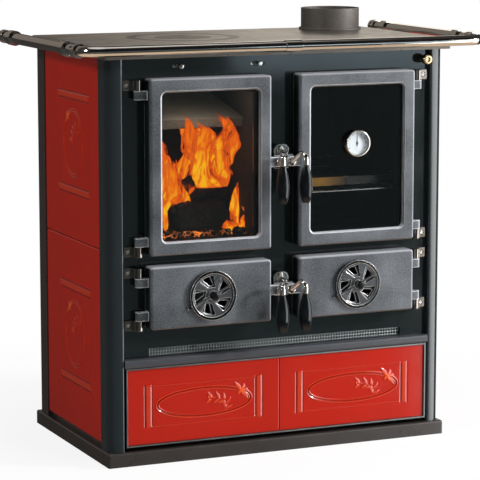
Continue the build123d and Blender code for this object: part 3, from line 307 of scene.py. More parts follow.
def cast_iron(name, dark, light, edge, gloss=(0.4, 0.55), scale=900.0, depth=0.25,
              radius=1.5 * MM, metallic=0.3, paint=None):
    """Grained iron with an edge colour of its own: wear on most irons, painted highlight on the
    door and register iron, darker on the hob plate.
    """
    shader = new_material(name, dark, Metallic=metallic)
    tree = shader.id_data
    grain = use_group(tree, GRAIN, Scale=scale)
    edges = use_group(tree, EDGES, Radius=radius)
    body = mix_colors(grain["Mask"], dark, light)
    if paint:
        body = paint(tree, body)
    dress(shader, mix_colors(edges["Mask"], body, edge), (*gloss, 22.0),
          grain["Height"], 0.4 * MM, depth, Normal=edges["Normal"])


def enamel(name, color, low, high, coat=0.5, ripple=0.02, paint=None, **inputs):
    """Smooth fired enamel: uneven gloss, soft edges and a faint ripple."""
    shader = new_material(name, color, Coat_Weight=coat, Coat_Roughness=0.05, **inputs)
    tree = shader.id_data
    paler = tuple(min(1.0, 1.25 * c + 0.001) for c in color)
    body = mix_colors(object_noise(tree, 6.0, 4.0), color, paler)
    if paint:
        body = paint(tree, body)
    dress(shader, body, (low, high, 14.0), object_noise(tree, 60.0, 1.0), 1.0 * MM, ripple,
          Normal=use_group(tree, EDGES, Radius=1.0 * MM)["Normal"])


def metal(name, color, low, high, radius=0.8 * MM, stain=0.9):
    """Bare or plated metal with clouds in its polish and a faint stain."""
    shader = new_material(name, color, Metallic=1.0)
    tree = shader.id_data
    stained = tuple(stain * c for c in color)
    set_inputs(shader, Base_Color=mix_colors(object_noise(tree, 25.0, 4.0), stained, color),
               Roughness=use_group(tree, GLOSS, Low=low, High=high, Scale=30.0)["Roughness"],
               Normal=use_group(tree, EDGES, Radius=radius)["Normal"])


def majolica(name, deep_and_shade, body, thin_and_highlight):
    """Red glaze, darker in the hollows and orange on the ridges: pooled and thin glaze, with
    painted shade in the hollows and painted highlight on the ridges.
    """
    shader = new_material(name, body, Coat_Weight=0.25, Coat_Roughness=0.08)
    tree = shader.id_data
    relief = add_node(tree, "ShaderNodeAttribute", attribute_name="relief").outputs["Fac"]
    soft = tuple(0.88 * c for c in body)
    glaze = mix_colors(object_noise(tree, 7.0, 4.0), soft, body)
    # Darker in the hollows: pooled glaze and painted shade. Orange on the ridges: thin glaze and
    # painted highlight.
    glaze = mix_colors(map_range(relief, -0.1, -0.8), glaze, deep_and_shade)
    glaze = mix_colors(map_range(relief, 0.8, 1.5), glaze, thin_and_highlight)
    dress(shader, glaze, (0.10, 0.16, 18.0), object_noise(tree, 45.0, 2.0), 1.0 * MM, 0.05)


print("finish builders ready")

# %% The stove's finishes
enamel("black_enamel", (0.027, 0.022, 0.020), 0.25, 0.38, coat=0.2)
enamel("pillar_enamel", (0.012, 0.016, 0.018), 0.16, 0.24)
enamel("facade_enamel", (0.006, 0.009, 0.009), 0.06, 0.11)
enamel("ledge_enamel", (0.036, 0.038, 0.045), 0.3, 0.42, coat=0.2)
enamel("rear_sheet", (0.06, 0.06, 0.062), 0.4, 0.55, coat=0.0)
enamel("oven_enamel", (0.014, 0.012, 0.010), 0.3, 0.45, coat=0.1)
# The tray's amber is painted warm light, and its dark right end is painted shade.
enamel("tray_enamel", (0.42, 0.22, 0.035), 0.2, 0.3, coat=0.3, paint=tray_painted_shade)
enamel("black_grip", (0.004, 0.005, 0.006), 0.06, 0.1, coat=0.0, ripple=0.0,
       Specular_IOR_Level=0.35)
enamel("needle_steel", (0.01, 0.01, 0.01), 0.3, 0.4, coat=0.0)
majolica("red_glaze", (0.07, 0.001, 0.0005), (0.385, 0.011, 0.003), (0.68, 0.10, 0.025))
# The door iron's pale edge colour is painted highlight; its paint adds painted light and shade by
# place.
cast_iron("door_iron", (0.022, 0.026, 0.030), (0.150, 0.160, 0.174), (0.85, 0.87, 0.90),
          (0.34, 0.44), scale=330.0, depth=0.5, radius=3.0 * MM, paint=door_painted_light)
# The register iron's bright edge colour is painted highlight.
cast_iron("register_iron", (0.050, 0.054, 0.060), (0.10, 0.105, 0.11), (0.95, 0.95, 0.95),
          (0.22, 0.32), depth=0.1, radius=1.6 * MM, metallic=0.6, paint=blackened_rim)
cast_iron("hob_iron", (0.10, 0.086, 0.072), (0.17, 0.148, 0.125), (0.26, 0.24, 0.22),
          (0.26, 0.4), scale=300.0, depth=0.12, metallic=0.6)
cast_iron("hob_plate_iron", (0.130, 0.114, 0.097), (0.215, 0.190, 0.160), (0.05, 0.045, 0.04),
          (0.28, 0.42), scale=300.0, depth=0.12, metallic=0.6)
cast_iron("hob_lid_iron", (0.05, 0.045, 0.040), (0.09, 0.082, 0.074), (0.30, 0.28, 0.25),
          (0.35, 0.5), scale=300.0, depth=0.15, metallic=0.6)
cast_iron("raw_iron", (0.055, 0.048, 0.042), (0.120, 0.106, 0.092), (0.12, 0.12, 0.12),
          (0.5, 0.65), scale=400.0)
cast_iron("fire_clay", (0.012, 0.010, 0.009), (0.034, 0.027, 0.022), (0.06, 0.05, 0.04),
          (0.85, 0.95), scale=160.0, depth=0.6, metallic=0.0)
cast_iron("baffle_clay", (0.070, 0.064, 0.056), (0.12, 0.11, 0.095), (0.20, 0.18, 0.15),
          (0.85, 0.95), scale=160.0, depth=0.5, metallic=0.0)
cast_iron("rope_seal", (0.08, 0.075, 0.07), (0.18, 0.17, 0.16), (0.18, 0.17, 0.16),
          (0.85, 0.95), scale=500.0, depth=0.5, metallic=0.0)
metal("chrome", (0.74, 0.72, 0.69), 0.05, 0.10, radius=2.2 * MM)
metal("rail_chrome", (0.66, 0.63, 0.60), 0.05, 0.11)
metal("bracket_steel", (0.30, 0.265, 0.235), 0.10, 0.18, radius=1.6 * MM)
metal("grille_steel", (0.22, 0.24, 0.24), 0.35, 0.5, stain=0.8)
metal("damper_brass", (0.72, 0.52, 0.30), 0.1, 0.2)
metal("box_steel", (0.10, 0.09, 0.085), 0.4, 0.6, stain=0.5)
metal("ash_steel", (0.3, 0.3, 0.31), 0.3, 0.5, stain=0.6)
metal("rack_wire", (0.5, 0.5, 0.5), 0.15, 0.25)
new_material("door_glass", (0.86, 0.86, 0.84), Roughness=0.02, IOR=1.45,
             Transmission_Weight=1.0)
M["hob_ring_iron"] = M["hob_lid_iron"]
OWN_FINISH = {"drawer_ledge": "ledge_enamel", "hinge_brackets": "bracket_steel",
              "smoke_baffle": "baffle_clay"}
for entry in frame["record"]["subparts"]:
    slots = nodes[entry["node"]].data.materials
    slots.clear()
    slots.append(M[OWN_FINISH.get(entry["node"], entry["material_slot"])])
print("finishes:", len(M))

# %% [markdown]
# ## Round parts that look round
# The CAD pieces arrive as loose triangles, so a tube would look faceted. A
# small Geometry Nodes tree joins equal corners, shades the faces smooth and
# keeps every edge sharp that turns more than a limit. Weighted normals then
# keep the large faces flat. The vertices stay where they are.

# %% Smooth shading of the CAD pieces


def shape_tree(name, **inputs):
    """An empty Geometry Nodes tree with named inputs."""
    return new_tree("GeometryNodeTree", name, {"Geometry": "Geometry"}, Geometry=None, **inputs)


def make_smooth_tree():
    """Join equal corners and shade smooth up to an edge angle."""
    tree, inside, out = shape_tree("smooth_cad", Distance=0.01 * MM,
                                   Edge_Angle=math.radians(32.0))
    merge = add_node(tree, "GeometryNodeMergeByDistance", Geometry=inside["Geometry"],
                     Distance=inside["Distance"])
    shallow = add_node(tree, "FunctionNodeCompare", operation="LESS_THAN",
                       A=tree.nodes.new("GeometryNodeInputMeshEdgeAngle"),
                       B=inside["Edge Angle"])
    faces = add_node(tree, "GeometryNodeSetShadeSmooth", Geometry=merge)
    edges = add_node(tree, "GeometryNodeSetShadeSmooth", domain="EDGE", Geometry=faces,
                     Shade_Smooth=shallow)
    set_inputs(out, Geometry=edges)
    return tree


SMOOTH = make_smooth_tree()
for part in nodes.values():
    part.modifiers.new("smooth", "NODES").node_group = SMOOTH
    part.modifiers.new("flat_faces", "WEIGHTED_NORMAL").keep_sharp = True
print("smoothed pieces:", len(nodes))

# %% [markdown]
# ## Making new pieces
# A new piece is a mesh in its final place, with one finish, on one moving
# body. These helpers turn points and faces into such a piece, spin a profile
# into a round one, and run a Geometry Nodes tree once and keep its mesh. What
# repeats, such as screws or holes, is one small shape set on many points.

# %% Piece helpers


def new_object(name, data):
    """An object in the scene that shows a mesh, a lamp or a camera."""
    item = bpy.data.objects.new(name, data)
    bpy.context.scene.collection.objects.link(item)
    return item


def finish_mesh(mesh, smooth_angle=35.0, recalculate=True):
    """Merge doubles, turn faces outwards and shade smooth across shallow edges."""
    work = bmesh.new()
    work.from_mesh(mesh)
    bmesh.ops.remove_doubles(work, verts=work.verts, dist=0.005 * MM)
    if recalculate:
        bmesh.ops.recalc_face_normals(work, faces=work.faces)
    work.to_mesh(mesh)
    work.free()
    mesh.shade_smooth()
    mesh.set_sharp_from_angle(angle=math.radians(smooth_angle))


def add_piece(mesh, body, slot, material=None, replaced=None):
    """Show a finished mesh as a piece of the same name that rides on a body."""
    mesh.materials.clear()
    mesh.materials.append(M[material or slot])
    piece = new_object(mesh.name, mesh)
    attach(piece, body)
    if replaced:
        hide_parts(replaced)
    return piece


def mesh_from(name, points, faces, smooth_angle=35.0, **values):
    """A finished mesh from points and faces, with named values on its points."""
    mesh = bpy.data.meshes.new(name)
    mesh.from_pydata([tuple(map(float, p)) for p in points], [], faces)
    for label, numbers in values.items():
        mesh.attributes.new(label, "FLOAT", "POINT").data.foreach_set("value", numbers)
    finish_mesh(mesh, smooth_angle)
    return mesh


def ring_faces(rings, around, closed=False):
    """Faces between rings of points; closed joins the last ring to the first."""
    faces = []
    for i in range(rings if closed else rings - 1):
        for j in range(around):
            a, b = i * around + j, i * around + (j + 1) % around
            faces.append((a, b, (b + around) % (rings * around), (a + around) % (rings * around)))
    return faces


def lathe(name, profile, place, steps=48, smooth_angle=35.0):
    """Spin a closed profile of (radius, depth) points; place maps x, z, depth."""
    points = []
    for i in range(steps):
        turn = 2 * math.pi * i / steps
        points += [place(r * math.cos(turn), r * math.sin(turn), d) for r, d in profile]
    return mesh_from(name, points, ring_faces(steps, len(profile), closed=True), smooth_angle)


def set_on_points(tree, inside, points, piece, **more):
    """The end of a tree: a piece on every point, made real and given its material."""
    repeat = add_node(tree, "GeometryNodeInstanceOnPoints", Points=points, Instance=piece, **more)
    real = add_node(tree, "GeometryNodeRealizeInstances", Geometry=repeat)
    return add_node(tree, "GeometryNodeSetMaterial", Geometry=real, Material=inside["Material"])


def grow(name, wire, source=None, **values):
    """Run a Geometry Nodes tree once and keep its mesh; wire adds the tree's nodes."""
    tree, inside, out = shape_tree(name, **values)
    set_inputs(out, Geometry=wire(tree, inside))
    seed = new_object(name + "_seed", source or bpy.data.meshes.new(name + "_seed"))
    modifier = seed.modifiers.new("grow", "NODES")
    modifier.node_group = tree
    for item in tree.interface.items_tree:
        if item.name != "Geometry":
            modifier[item.identifier] = values[item.name.replace(" ", "_")]
    depsgraph = bpy.context.evaluated_depsgraph_get()
    result = bpy.data.meshes.new_from_object(seed.evaluated_get(depsgraph), depsgraph=depsgraph)
    seed.modifiers.clear()
    bpy.data.objects.remove(seed)
    result.name = name
    return result


print("piece helpers ready")

# %% [markdown]
# ## The red tiles
# The real tiles are pressed clay with a low relief: a moulded frame, an oval
# band of two fine lines, and a small spray of leaves. A relief is one height
# for each point of a face, so the tile is a grid whose points are pushed out
# by a formula, with few points on the plain border and many in the field. The
# spray here is this script's own: laurel leaves, three berries, a rosette.

# %% Relief formulas, in millimetres


def rib(distance, width, height):
    """A smooth rib whose middle line is where the distance is zero."""
    share = np.clip(np.abs(distance) / (width / 2), 0.0, 1.0)
    return height * (0.5 + 0.5 * np.cos(np.pi * share))


def oval_distance(u, v, half_u, half_v):
    """Nearly the signed distance to an ellipse's outline."""
    radius = np.hypot(u / half_u, v / half_v) + 1e-6
    slope = np.hypot(u / half_u ** 2, v / half_v ** 2) / radius + 1e-6
    return (radius - 1.0) / slope


def leaf(u, v, base, angle, length, width, height):
    """A pointed leaf that lies along an angle, with a vein down its middle."""
    du, dv = u - base[0], v - base[1]
    along = du * math.cos(angle) + dv * math.sin(angle)
    across = dv * math.cos(angle) - du * math.sin(angle)
    share = np.clip(along / length, 0.0, 1.0)
    half = width / 2 * np.sin(np.pi * share ** 0.8) + 1e-6
    dome = np.clip(1.0 - (across / half) ** 2, 0.0, 1.0)
    vein = 1.0 - 0.45 * np.exp(-(across / 0.5) ** 2)
    return np.where((along > 0) & (along < length), height * dome * vein, 0.0)


def berry(u, v, center, radius, height):
    """A round drop."""
    share = np.hypot(u - center[0], v - center[1]) / radius
    return height * np.sqrt(np.clip(1.0 - share ** 2, 0.0, 1.0))


def rosette(u, v, center, radius, height):
    """Five petals round a small heart."""
    du, dv = u - center[0], v - center[1]
    petal = 0.55 + 0.45 * np.abs(np.cos(2.5 * np.arctan2(dv, du)))
    share = np.hypot(du, dv) / (radius * petal)
    dome = np.sqrt(np.clip(1.0 - share ** 2, 0.0, 1.0)) * petal
    return np.maximum(height * dome, berry(u, v, center, 0.28 * radius, height))


print("relief shapes: rib, oval, leaf, berry, rosette")

# %% The tile's pattern
RELIEF_TOP_MM = 1.6
LEAF_LENGTH_MM, LEAF_WIDTH_MM = 18.0, 8.0
STEM_STEPS = 24
FLOWER_RADIUS_MM = 14.0
FLOWER_TURN = 0.62
BAND_LINE_MM = 2.8


def spray(u, v, oval_u, oval_v):
    """A stem from the band into the oval, with leaves in pairs and berries."""
    start = Vector((0.42 * oval_u, -0.86 * oval_v))
    bend = Vector((0.62 * oval_u, 0.05 * oval_v))
    end = Vector((0.12 * oval_u, 0.22 * oval_v))
    shapes = []
    for i in range(STEM_STEPS + 1):
        t = i / STEM_STEPS
        point = start * (1 - t) ** 2 + bend * (2 * t * (1 - t)) + end * t ** 2
        shapes.append(berry(u, v, point, 1.3, 0.8))
        if i % 5 == 3:
            way = (bend - start) * (1 - t) + (end - bend) * t
            along = math.atan2(way.y, way.x)
            shapes += [leaf(u, v, point, along + lean, LEAF_LENGTH_MM, LEAF_WIDTH_MM, 1.3)
                       for lean in (-0.8, 0.8)]
    for turn in (0.6, 2.7, 4.4):
        drop = end + 3.4 * Vector((math.cos(turn), math.sin(turn)))
        shapes.append(berry(u, v, drop, 2.6, 1.5))
    return np.maximum.reduce(shapes)


def tile_pattern(u, v, half_u, half_v, oval_u, oval_v):
    """Height of the whole relief, from the field's middle."""
    ends = np.clip((half_v + 3.0 - np.abs(v)) / 1.5, 0.0, 1.0)
    side = np.abs(np.abs(u) - half_u)
    bar = np.clip((6.5 - side) / 2.0, 0.0, 1.0) * ends
    groove = rib(side - 8.0, 4.0, 0.75) * ends
    line = rib(np.abs(v) - half_v, 3.2, 0.9) * (np.abs(u) < half_u)
    band = oval_distance(u, v, oval_u, oval_v)
    lines = (rib(band - BAND_LINE_MM, 3.0, 1.4) + rib(band + BAND_LINE_MM, 3.0, 1.25)
             - rib(band, 3.0, 0.7))
    height = np.maximum(0.95 * bar, line) - groove * (bar == 0) + lines
    knot = (oval_u * math.cos(FLOWER_TURN), oval_v * math.sin(FLOWER_TURN))
    shapes = [leaf(u, v, knot, lean, 1.5 * LEAF_LENGTH_MM, 1.2 * LEAF_WIDTH_MM, 1.4)
              for lean in (2.35, -0.95)]
    motif = np.maximum.reduce([rosette(u, v, knot, FLOWER_RADIUS_MM, RELIEF_TOP_MM),
                               spray(u, v, oval_u, oval_v), *shapes])
    height = np.where(motif > 0, np.maximum(height, motif), height)
    return np.minimum(height, RELIEF_TOP_MM)


print("tile pattern, highest point in mm:", RELIEF_TOP_MM)

# %% Build a tile
RIM_SHARES = np.array([0.0, 0.12, 0.35, 0.65, 1.0, 1.3])
MARGIN_MM = (12.0, 5.0)


def grid_lines(size, middle, reach, edge, step):
    """Coordinates of grid lines: dense in the field, few at the border."""
    field = np.linspace(middle - reach, middle + reach, int(round(2 * reach / step)) + 1)
    rim = edge * RIM_SHARES - size / 2
    return np.unique(np.concatenate([rim, field, -rim]).round(4))


def tile_mesh(name, size, middle, field, oval, edge, step, depth, place):
    """A tile with its relief; place maps (u, v, height) in mm to the scene."""
    us, vs = (grid_lines(size[k], middle[k], field[k] + MARGIN_MM[k], edge, step)
              for k in (0, 1))
    u, v = np.meshgrid(us, vs, indexing="ij")
    relief = tile_pattern(u - middle[0], v - middle[1], *field, *oval)
    rim = np.minimum(np.minimum(u - us[0], us[-1] - u), np.minimum(v - vs[0], vs[-1] - v))
    drop = edge - np.sqrt(np.maximum(edge ** 2 - np.maximum(edge - rim, 0.0) ** 2, 0.0))
    index = np.arange(u.size).reshape(u.shape)
    corners = (index[:-1, :-1], index[1:, :-1], index[1:, 1:], index[:-1, 1:])
    faces = np.stack(corners, axis=-1).reshape(-1, 4).tolist()
    border = np.concatenate([index[:, 0], index[-1, 1:], index[-2::-1, -1],
                             index[0, -2:0:-1]]).tolist()
    points = [place(*p) for p in zip(u.flat, v.flat, (relief - drop).flat)]
    points += [place(u.flat[k], v.flat[k], -depth) for k in border]
    wall = [(k, u.size + i) for i, k in enumerate(border)]
    faces += [(a, b, d, c) for (a, c), (b, d) in zip(wall, wall[1:] + wall[:1])]
    faces.append([back for _, back in wall])
    values = np.concatenate([relief.ravel(), np.zeros(len(border))]).astype(np.float32)
    return mesh_from(name, points, faces, 60.0, relief=values)


print("border grid lines, as shares of the rounded edge:", RIM_SHARES)

# %% The six tiles
SIDES = ((-1, "left"), (1, "right"))
RELIEF_TOP = RELIEF_TOP_MM * MM
DRAWER_FIELD_MM, DRAWER_OVAL_MM = (124.5, 42.5), (105.0, 29.0)
SIDE_FIELD_MM, SIDE_OVAL_MM = (99.5, 91.5), (69.0, 56.0)
SIDE_MIDDLE_MM = (0.0, -12.0)
TILE_SEAM_Z = 445.0 * MM
TILE_JOINT = 1.0 * MM


def add_tile(mesh, body, node):
    """A glazed tile in place of a CAD node."""
    add_piece(mesh, body, "red_glaze", replaced=node)
    print(mesh.name, "faces:", len(mesh.polygons))


low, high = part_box("drawer_tiles")
face_y = low.y + RELIEF_TOP
tile_width = high.x - TILE_JOINT / 2
for side, label in SIDES:
    center_x = side * (TILE_JOINT + tile_width) / 2

    def place_drawer(u, v, h):
        return (center_x + u * MM, face_y - h * MM, (low.z + high.z) / 2 + v * MM)

    add_tile(tile_mesh("drawer_tile_" + label, (tile_width / MM, (high.z - low.z) / MM),
                       (0.0, 0.0), DRAWER_FIELD_MM, DRAWER_OVAL_MM, 1.5, 1.0,
                       (high.y - face_y) / MM, place_drawer), "wood_drawer", "drawer_tiles")

for side, label in SIDES:
    low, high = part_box("side_tiles_" + label)
    face_x = low.x + RELIEF_TOP if side < 0 else high.x - RELIEF_TOP
    for level, z0, z1 in (("lower", low.z, TILE_SEAM_Z - TILE_JOINT / 2),
                          ("upper", TILE_SEAM_Z + TILE_JOINT / 2, high.z)):

        def place_side(u, v, h):
            return (face_x + side * h * MM, (low.y + high.y) / 2 + v * MM, (z0 + z1) / 2 + u * MM)

        add_tile(tile_mesh(f"side_tile_{label}_{level}", ((z1 - z0) / MM, (high.y - low.y) / MM),
                           SIDE_MIDDLE_MM, SIDE_FIELD_MM, SIDE_OVAL_MM, 3.0, 1.4,
                           (high.x - low.x - RELIEF_TOP) / MM, place_side),
                 "stove_body", "side_tiles_" + label)

# %% [markdown]
# ## The air grille
# The long slot over the drawer is closed by a perforated sheet. One cell is a
# square with a round hole; Geometry Nodes fill the outline of the two curves,
# give the sheet its thickness, and set the cell on every point of a grid.

# %% Perforated sheet


def perforated_sheet(tree, inside):
    """A grid of square cells, each with a round hole."""
    square = add_node(tree, "GeometryNodeCurvePrimitiveQuadrilateral", Width=inside["Cell"],
                      Height=inside["Cell"])
    hole = add_node(tree, "GeometryNodeCurvePrimitiveCircle", Resolution=12,
                    Radius=inside["Hole Radius"])
    both = add_node(tree, "GeometryNodeJoinGeometry", Geometry=square)
    feed(both.inputs["Geometry"], hole)
    cell = add_node(tree, "GeometryNodeExtrudeMesh", Individual=False,
                    Mesh=add_node(tree, "GeometryNodeFillCurve", Curve=both),
                    Offset_Scale=inside["Thickness"])
    grid = add_node(tree, "GeometryNodeMeshGrid", Size_X=inside["Width"], Size_Y=inside["Height"],
                    Vertices_X=inside["Columns"], Vertices_Y=inside["Rows"])
    return set_on_points(tree, inside, grid, cell)


GRILLE_ROWS = 4
HOLE_SHARE = 0.41
low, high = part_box("vent_grille")
cell = (high.z - low.z) / GRILLE_ROWS
columns = int((high.x - low.x) / cell)
mesh = grow("air_grille_sheet", perforated_sheet, Width=(columns - 1) * cell,
            Height=(GRILLE_ROWS - 1) * cell, Columns=columns, Rows=GRILLE_ROWS, Cell=cell,
            Hole_Radius=HOLE_SHARE * cell, Thickness=high.y - low.y, Material=M["grille_steel"])
for vertex in mesh.vertices:
    x, y, z = vertex.co
    vertex.co = ((low.x + high.x) / 2 + x, high.y - z, (low.z + high.z) / 2 + y)
finish_mesh(mesh, 30.0, recalculate=False)
add_piece(mesh, "stove_body", "grille_steel", replaced="vent_grille")
print("grille holes:", GRILLE_ROWS * columns, "faces:", len(mesh.polygons))

# %% [markdown]
# ## Screws
# Every hinge bracket is held by a slotted screw in its recess, and the rear
# sheet by a row of them. One screw head is a cylinder with its slot cut out.
# Geometry Nodes put a head on each given point and turn it to face outwards.

# %% Screw heads


def screw_heads(tree, inside):
    """A slotted head on every point, turned by one rotation."""
    size = add_node(tree, "ShaderNodeCombineXYZ", X=product(inside["Radius"], 3.0),
                    Y=product(inside["Radius"], 0.3), Z=inside["Height"])
    lift = add_node(tree, "ShaderNodeCombineXYZ", Z=product(inside["Height"], 0.6))
    slot = add_node(tree, "GeometryNodeTransform", Translation=lift,
                    Geometry=add_node(tree, "GeometryNodeMeshCube", Size=size))
    head = add_node(tree, "GeometryNodeMeshCylinder", Vertices=20, Radius=inside["Radius"],
                    Depth=inside["Height"])
    cut = add_node(tree, "GeometryNodeMeshBoolean", operation="DIFFERENCE", Mesh_1=head,
                   Mesh_2=slot)
    return set_on_points(tree, inside, inside["Geometry"], cut, Rotation=inside["Turn"])


def add_screws(name, points, radius, height, turn):
    """One piece with a slotted chrome screw head on each point."""
    seed = bpy.data.meshes.new(name + "_points")
    seed.from_pydata(points, [], [])
    mesh = grow(name, screw_heads, seed, Radius=radius, Height=height, Turn=turn,
                Material=M["chrome"])
    finish_mesh(mesh, 30.0)
    add_piece(mesh, "stove_body", "chrome")
    print(name + ":", len(points))


# %% Hinge and rear screws
FLANGE_RECESS = 2.5 * MM
HINGE_SCREW_RADIUS, HINGE_SCREW_HEIGHT = 4.1 * MM, 2.0 * MM
HINGE_SCREW_X = 337.0 * MM
BRACKET_MIDDLE_OVER, BRACKET_MIDDLE_UNDER = 7.5 * MM, 13.5 * MM
REAR_SCREW_RADIUS, REAR_SCREW_HEIGHT = 4.0 * MM, 1.2 * MM
REAR_SCREW_INSET = 12.0 * MM

screw_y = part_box("front_plate")[0].y - FLANGE_RECESS - HINGE_SCREW_HEIGHT / 2
levels = []
for door in ("oven_door_frame", "soot_door_panel"):
    low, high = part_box(door)
    levels += [high.z - BRACKET_MIDDLE_UNDER, low.z + BRACKET_MIDDLE_OVER]
places = [(side * HINGE_SCREW_X, screw_y, z) for side in (-1, 1) for z in levels]
add_screws("hinge_screws", places,
           HINGE_SCREW_RADIUS, HINGE_SCREW_HEIGHT, (math.radians(90), 0.35, 0))

low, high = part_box("rear_panel")
xs = np.linspace(low.x + REAR_SCREW_INSET, high.x - REAR_SCREW_INSET, 3)
zs = np.linspace(low.z + REAR_SCREW_INSET, high.z - REAR_SCREW_INSET, 5)
points = [(x, high.y + REAR_SCREW_HEIGHT / 2, z) for x in xs for z in zs
          if x != xs[1] or z in (zs[0], zs[-1])]
add_screws("rear_screws", points, REAR_SCREW_RADIUS, REAR_SCREW_HEIGHT,
           (math.radians(-90), 0.7, 0))

# %% [markdown]
# ## The oven thermometer
# The dial is a white disc with fine black marks and no numbers, under a thin
# glass. The disc and the glass are spun from a profile. The marks stand on a
# circle: Geometry Nodes set a small bar on each point and turn it to the
# middle.

# %% Dial, glass and marks
DIAL_WELL, DIAL_RIM = 8.0 * MM, 3.5 * MM
DISC_HOLE, DISC_THICKNESS = 1.3 * MM, 0.2 * MM
MARKS_RADIUS, MARKS_THICKNESS = 20.5 * MM, 0.15 * MM
DIAL_PALE = (0.62, 0.67, 0.72)


def dial_marks(tree, inside):
    """Bars on an arc, each turned towards the middle."""
    arc = add_node(tree, "GeometryNodeCurveArc", Resolution=inside["Count"],
                   Radius=inside["Radius"], Start_Angle=inside["Start"],
                   Sweep_Angle=inside["Sweep"])
    points = add_node(tree, "GeometryNodeCurveToPoints", Curve=arc, Count=inside["Count"])
    size = add_node(tree, "ShaderNodeCombineXYZ", X=inside["Length"], Y=inside["Thickness"],
                    Z=inside["Width"])
    bar = add_node(tree, "GeometryNodeMeshCube", Size=size)
    return set_on_points(tree, inside, points, bar, Rotation=points.outputs["Rotation"])


low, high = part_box("oven_thermometer")
dial_x, dial_y, dial_z = (low.x + high.x) / 2, low.y + DIAL_WELL, (low.z + high.z) / 2
glass_radius = (high.x - low.x) / 2 - DIAL_RIM - 0.1 * MM


def place_dial(a, b, depth):
    """Dial coordinates to the scene; depth counts from the dial towards the viewer."""
    return (dial_x + a, dial_y - depth, dial_z + b)


shader = new_material("dial_white", DIAL_PALE, Roughness=0.45)
set_inputs(shader, Base_Color=mix_colors(object_noise(shader.id_data, 80.0), DIAL_PALE,
                                         (0.56, 0.60, 0.64)))
disc = [(DISC_HOLE, 0.0), (glass_radius, 0.0), (glass_radius, DISC_THICKNESS),
        (DISC_HOLE, DISC_THICKNESS)]
add_piece(lathe("thermometer_dial", disc, place_dial), "oven_door", "chrome", "dial_white")
front = DIAL_WELL - 1.5 * MM
lens = [(0.0, front - 1 * MM), (glass_radius, front - 2 * MM), (glass_radius, front - 1 * MM),
        (0.0, front)]
add_piece(lathe("thermometer_lens", lens, place_dial, smooth_angle=60.0), "oven_door",
          "door_glass").visible_shadow = False
for name, count, length, width in (("thermometer_marks_fine", 33, 2.4, 0.5),
                                   ("thermometer_marks_bold", 9, 4.4, 1.5)):
    marks = grow(name, dial_marks, Count=count, Radius=MARKS_RADIUS, Length=length * MM,
                 Width=width * MM, Thickness=MARKS_THICKNESS, Start=math.radians(-30.0),
                 Sweep=math.radians(240.0), Material=M["needle_steel"])
    for vertex in marks.vertices:
        a, b, depth = vertex.co
        vertex.co = place_dial(a, b, DISC_THICKNESS + 0.02 * MM + abs(depth))
    finish_mesh(marks)
    add_piece(marks, "oven_door", "needle_steel")
print("dial at", [round(c, 4) for c in (dial_x, dial_y, dial_z)])

# %% [markdown]
# ## Rope seals
# A braided rope lies behind the edge of each upper door and closes it against
# the front plate. It follows a rounded rectangle. The section is an oval whose
# radius swells along two crossing spirals, which is what a braid looks like.

# %% Braided rope
SEAL_WIDTH = 7.0 * MM
SEAL_CORNER = 12.0 * MM
STRAND_STEP = 6.0 * MM
ROUTE_STEP = 1.5 * MM


def rounded_route(x0, x1, z0, z1):
    """Evenly spaced points on a rounded rectangle, with the way out at each."""
    route = []
    for x, z, start in ((x1, z1, 0), (x0, z1, 90), (x0, z0, 180), (x1, z0, 270)):
        cx = x - SEAL_CORNER if x == x1 else x + SEAL_CORNER
        cz = z - SEAL_CORNER if z == z1 else z + SEAL_CORNER
        for i in range(9):
            turn = math.radians(start + 90 * i / 8)
            route.append(Vector((cx + SEAL_CORNER * math.cos(turn), 0,
                                 cz + SEAL_CORNER * math.sin(turn))))
    even, left = [], 0.0
    for a, b in zip(route, route[1:] + route[:1]):
        length = (b - a).length
        way = (b - a).normalized()
        along = left
        while along < length:
            even.append((a.lerp(b, along / length), Vector((way.z, 0, -way.x))))
            along += ROUTE_STEP
        left = along - length
    return even


def rope_mesh(name, low, high):
    """A braided rope in the box of the CAD seal."""
    half_w, half_d = SEAL_WIDTH / 2, (high.y - low.y) / 2
    route = rounded_route(low.x + half_w, high.x - half_w, low.z + half_w, high.z - half_w)
    strands = round(len(route) * ROUTE_STEP / STRAND_STEP)
    around, points = 14, []
    for i, (center, outward) in enumerate(route):
        spiral = 2 * math.pi * strands * i / len(route)
        for j in range(around):
            turn = 2 * math.pi * j / around
            braid = 0.9 + 0.05 * (math.cos(2 * turn + spiral) + math.cos(2 * turn - spiral))
            offset = outward * (half_w * braid * math.cos(turn))
            depth = (low.y + high.y) / 2 + half_d * braid * math.sin(turn)
            points.append((center.x + offset.x, depth, center.z + offset.z))
    return mesh_from(name, points, ring_faces(len(route), around, closed=True), 80.0)


for door in ("fire_door", "oven_door"):
    mesh = rope_mesh(door + "_rope", *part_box(door + "_gasket"))
    add_piece(mesh, door, "rope_seal", replaced=door + "_gasket")
    print(mesh.name, "faces:", len(mesh.polygons))

# %% [markdown]
# ## The fire
# Behind the left window burn three split logs on a bed of embers. A log is a
# tube whose skin is pushed in and out by noise. The embers are small stones
# scattered by Geometry Nodes with a fixed seed. A flame is a closed tongue
# with no surface of its own: it only shines, and it fades at its rim, where
# one looks along it, so that it reads as hot gas.

# %% Burnt wood


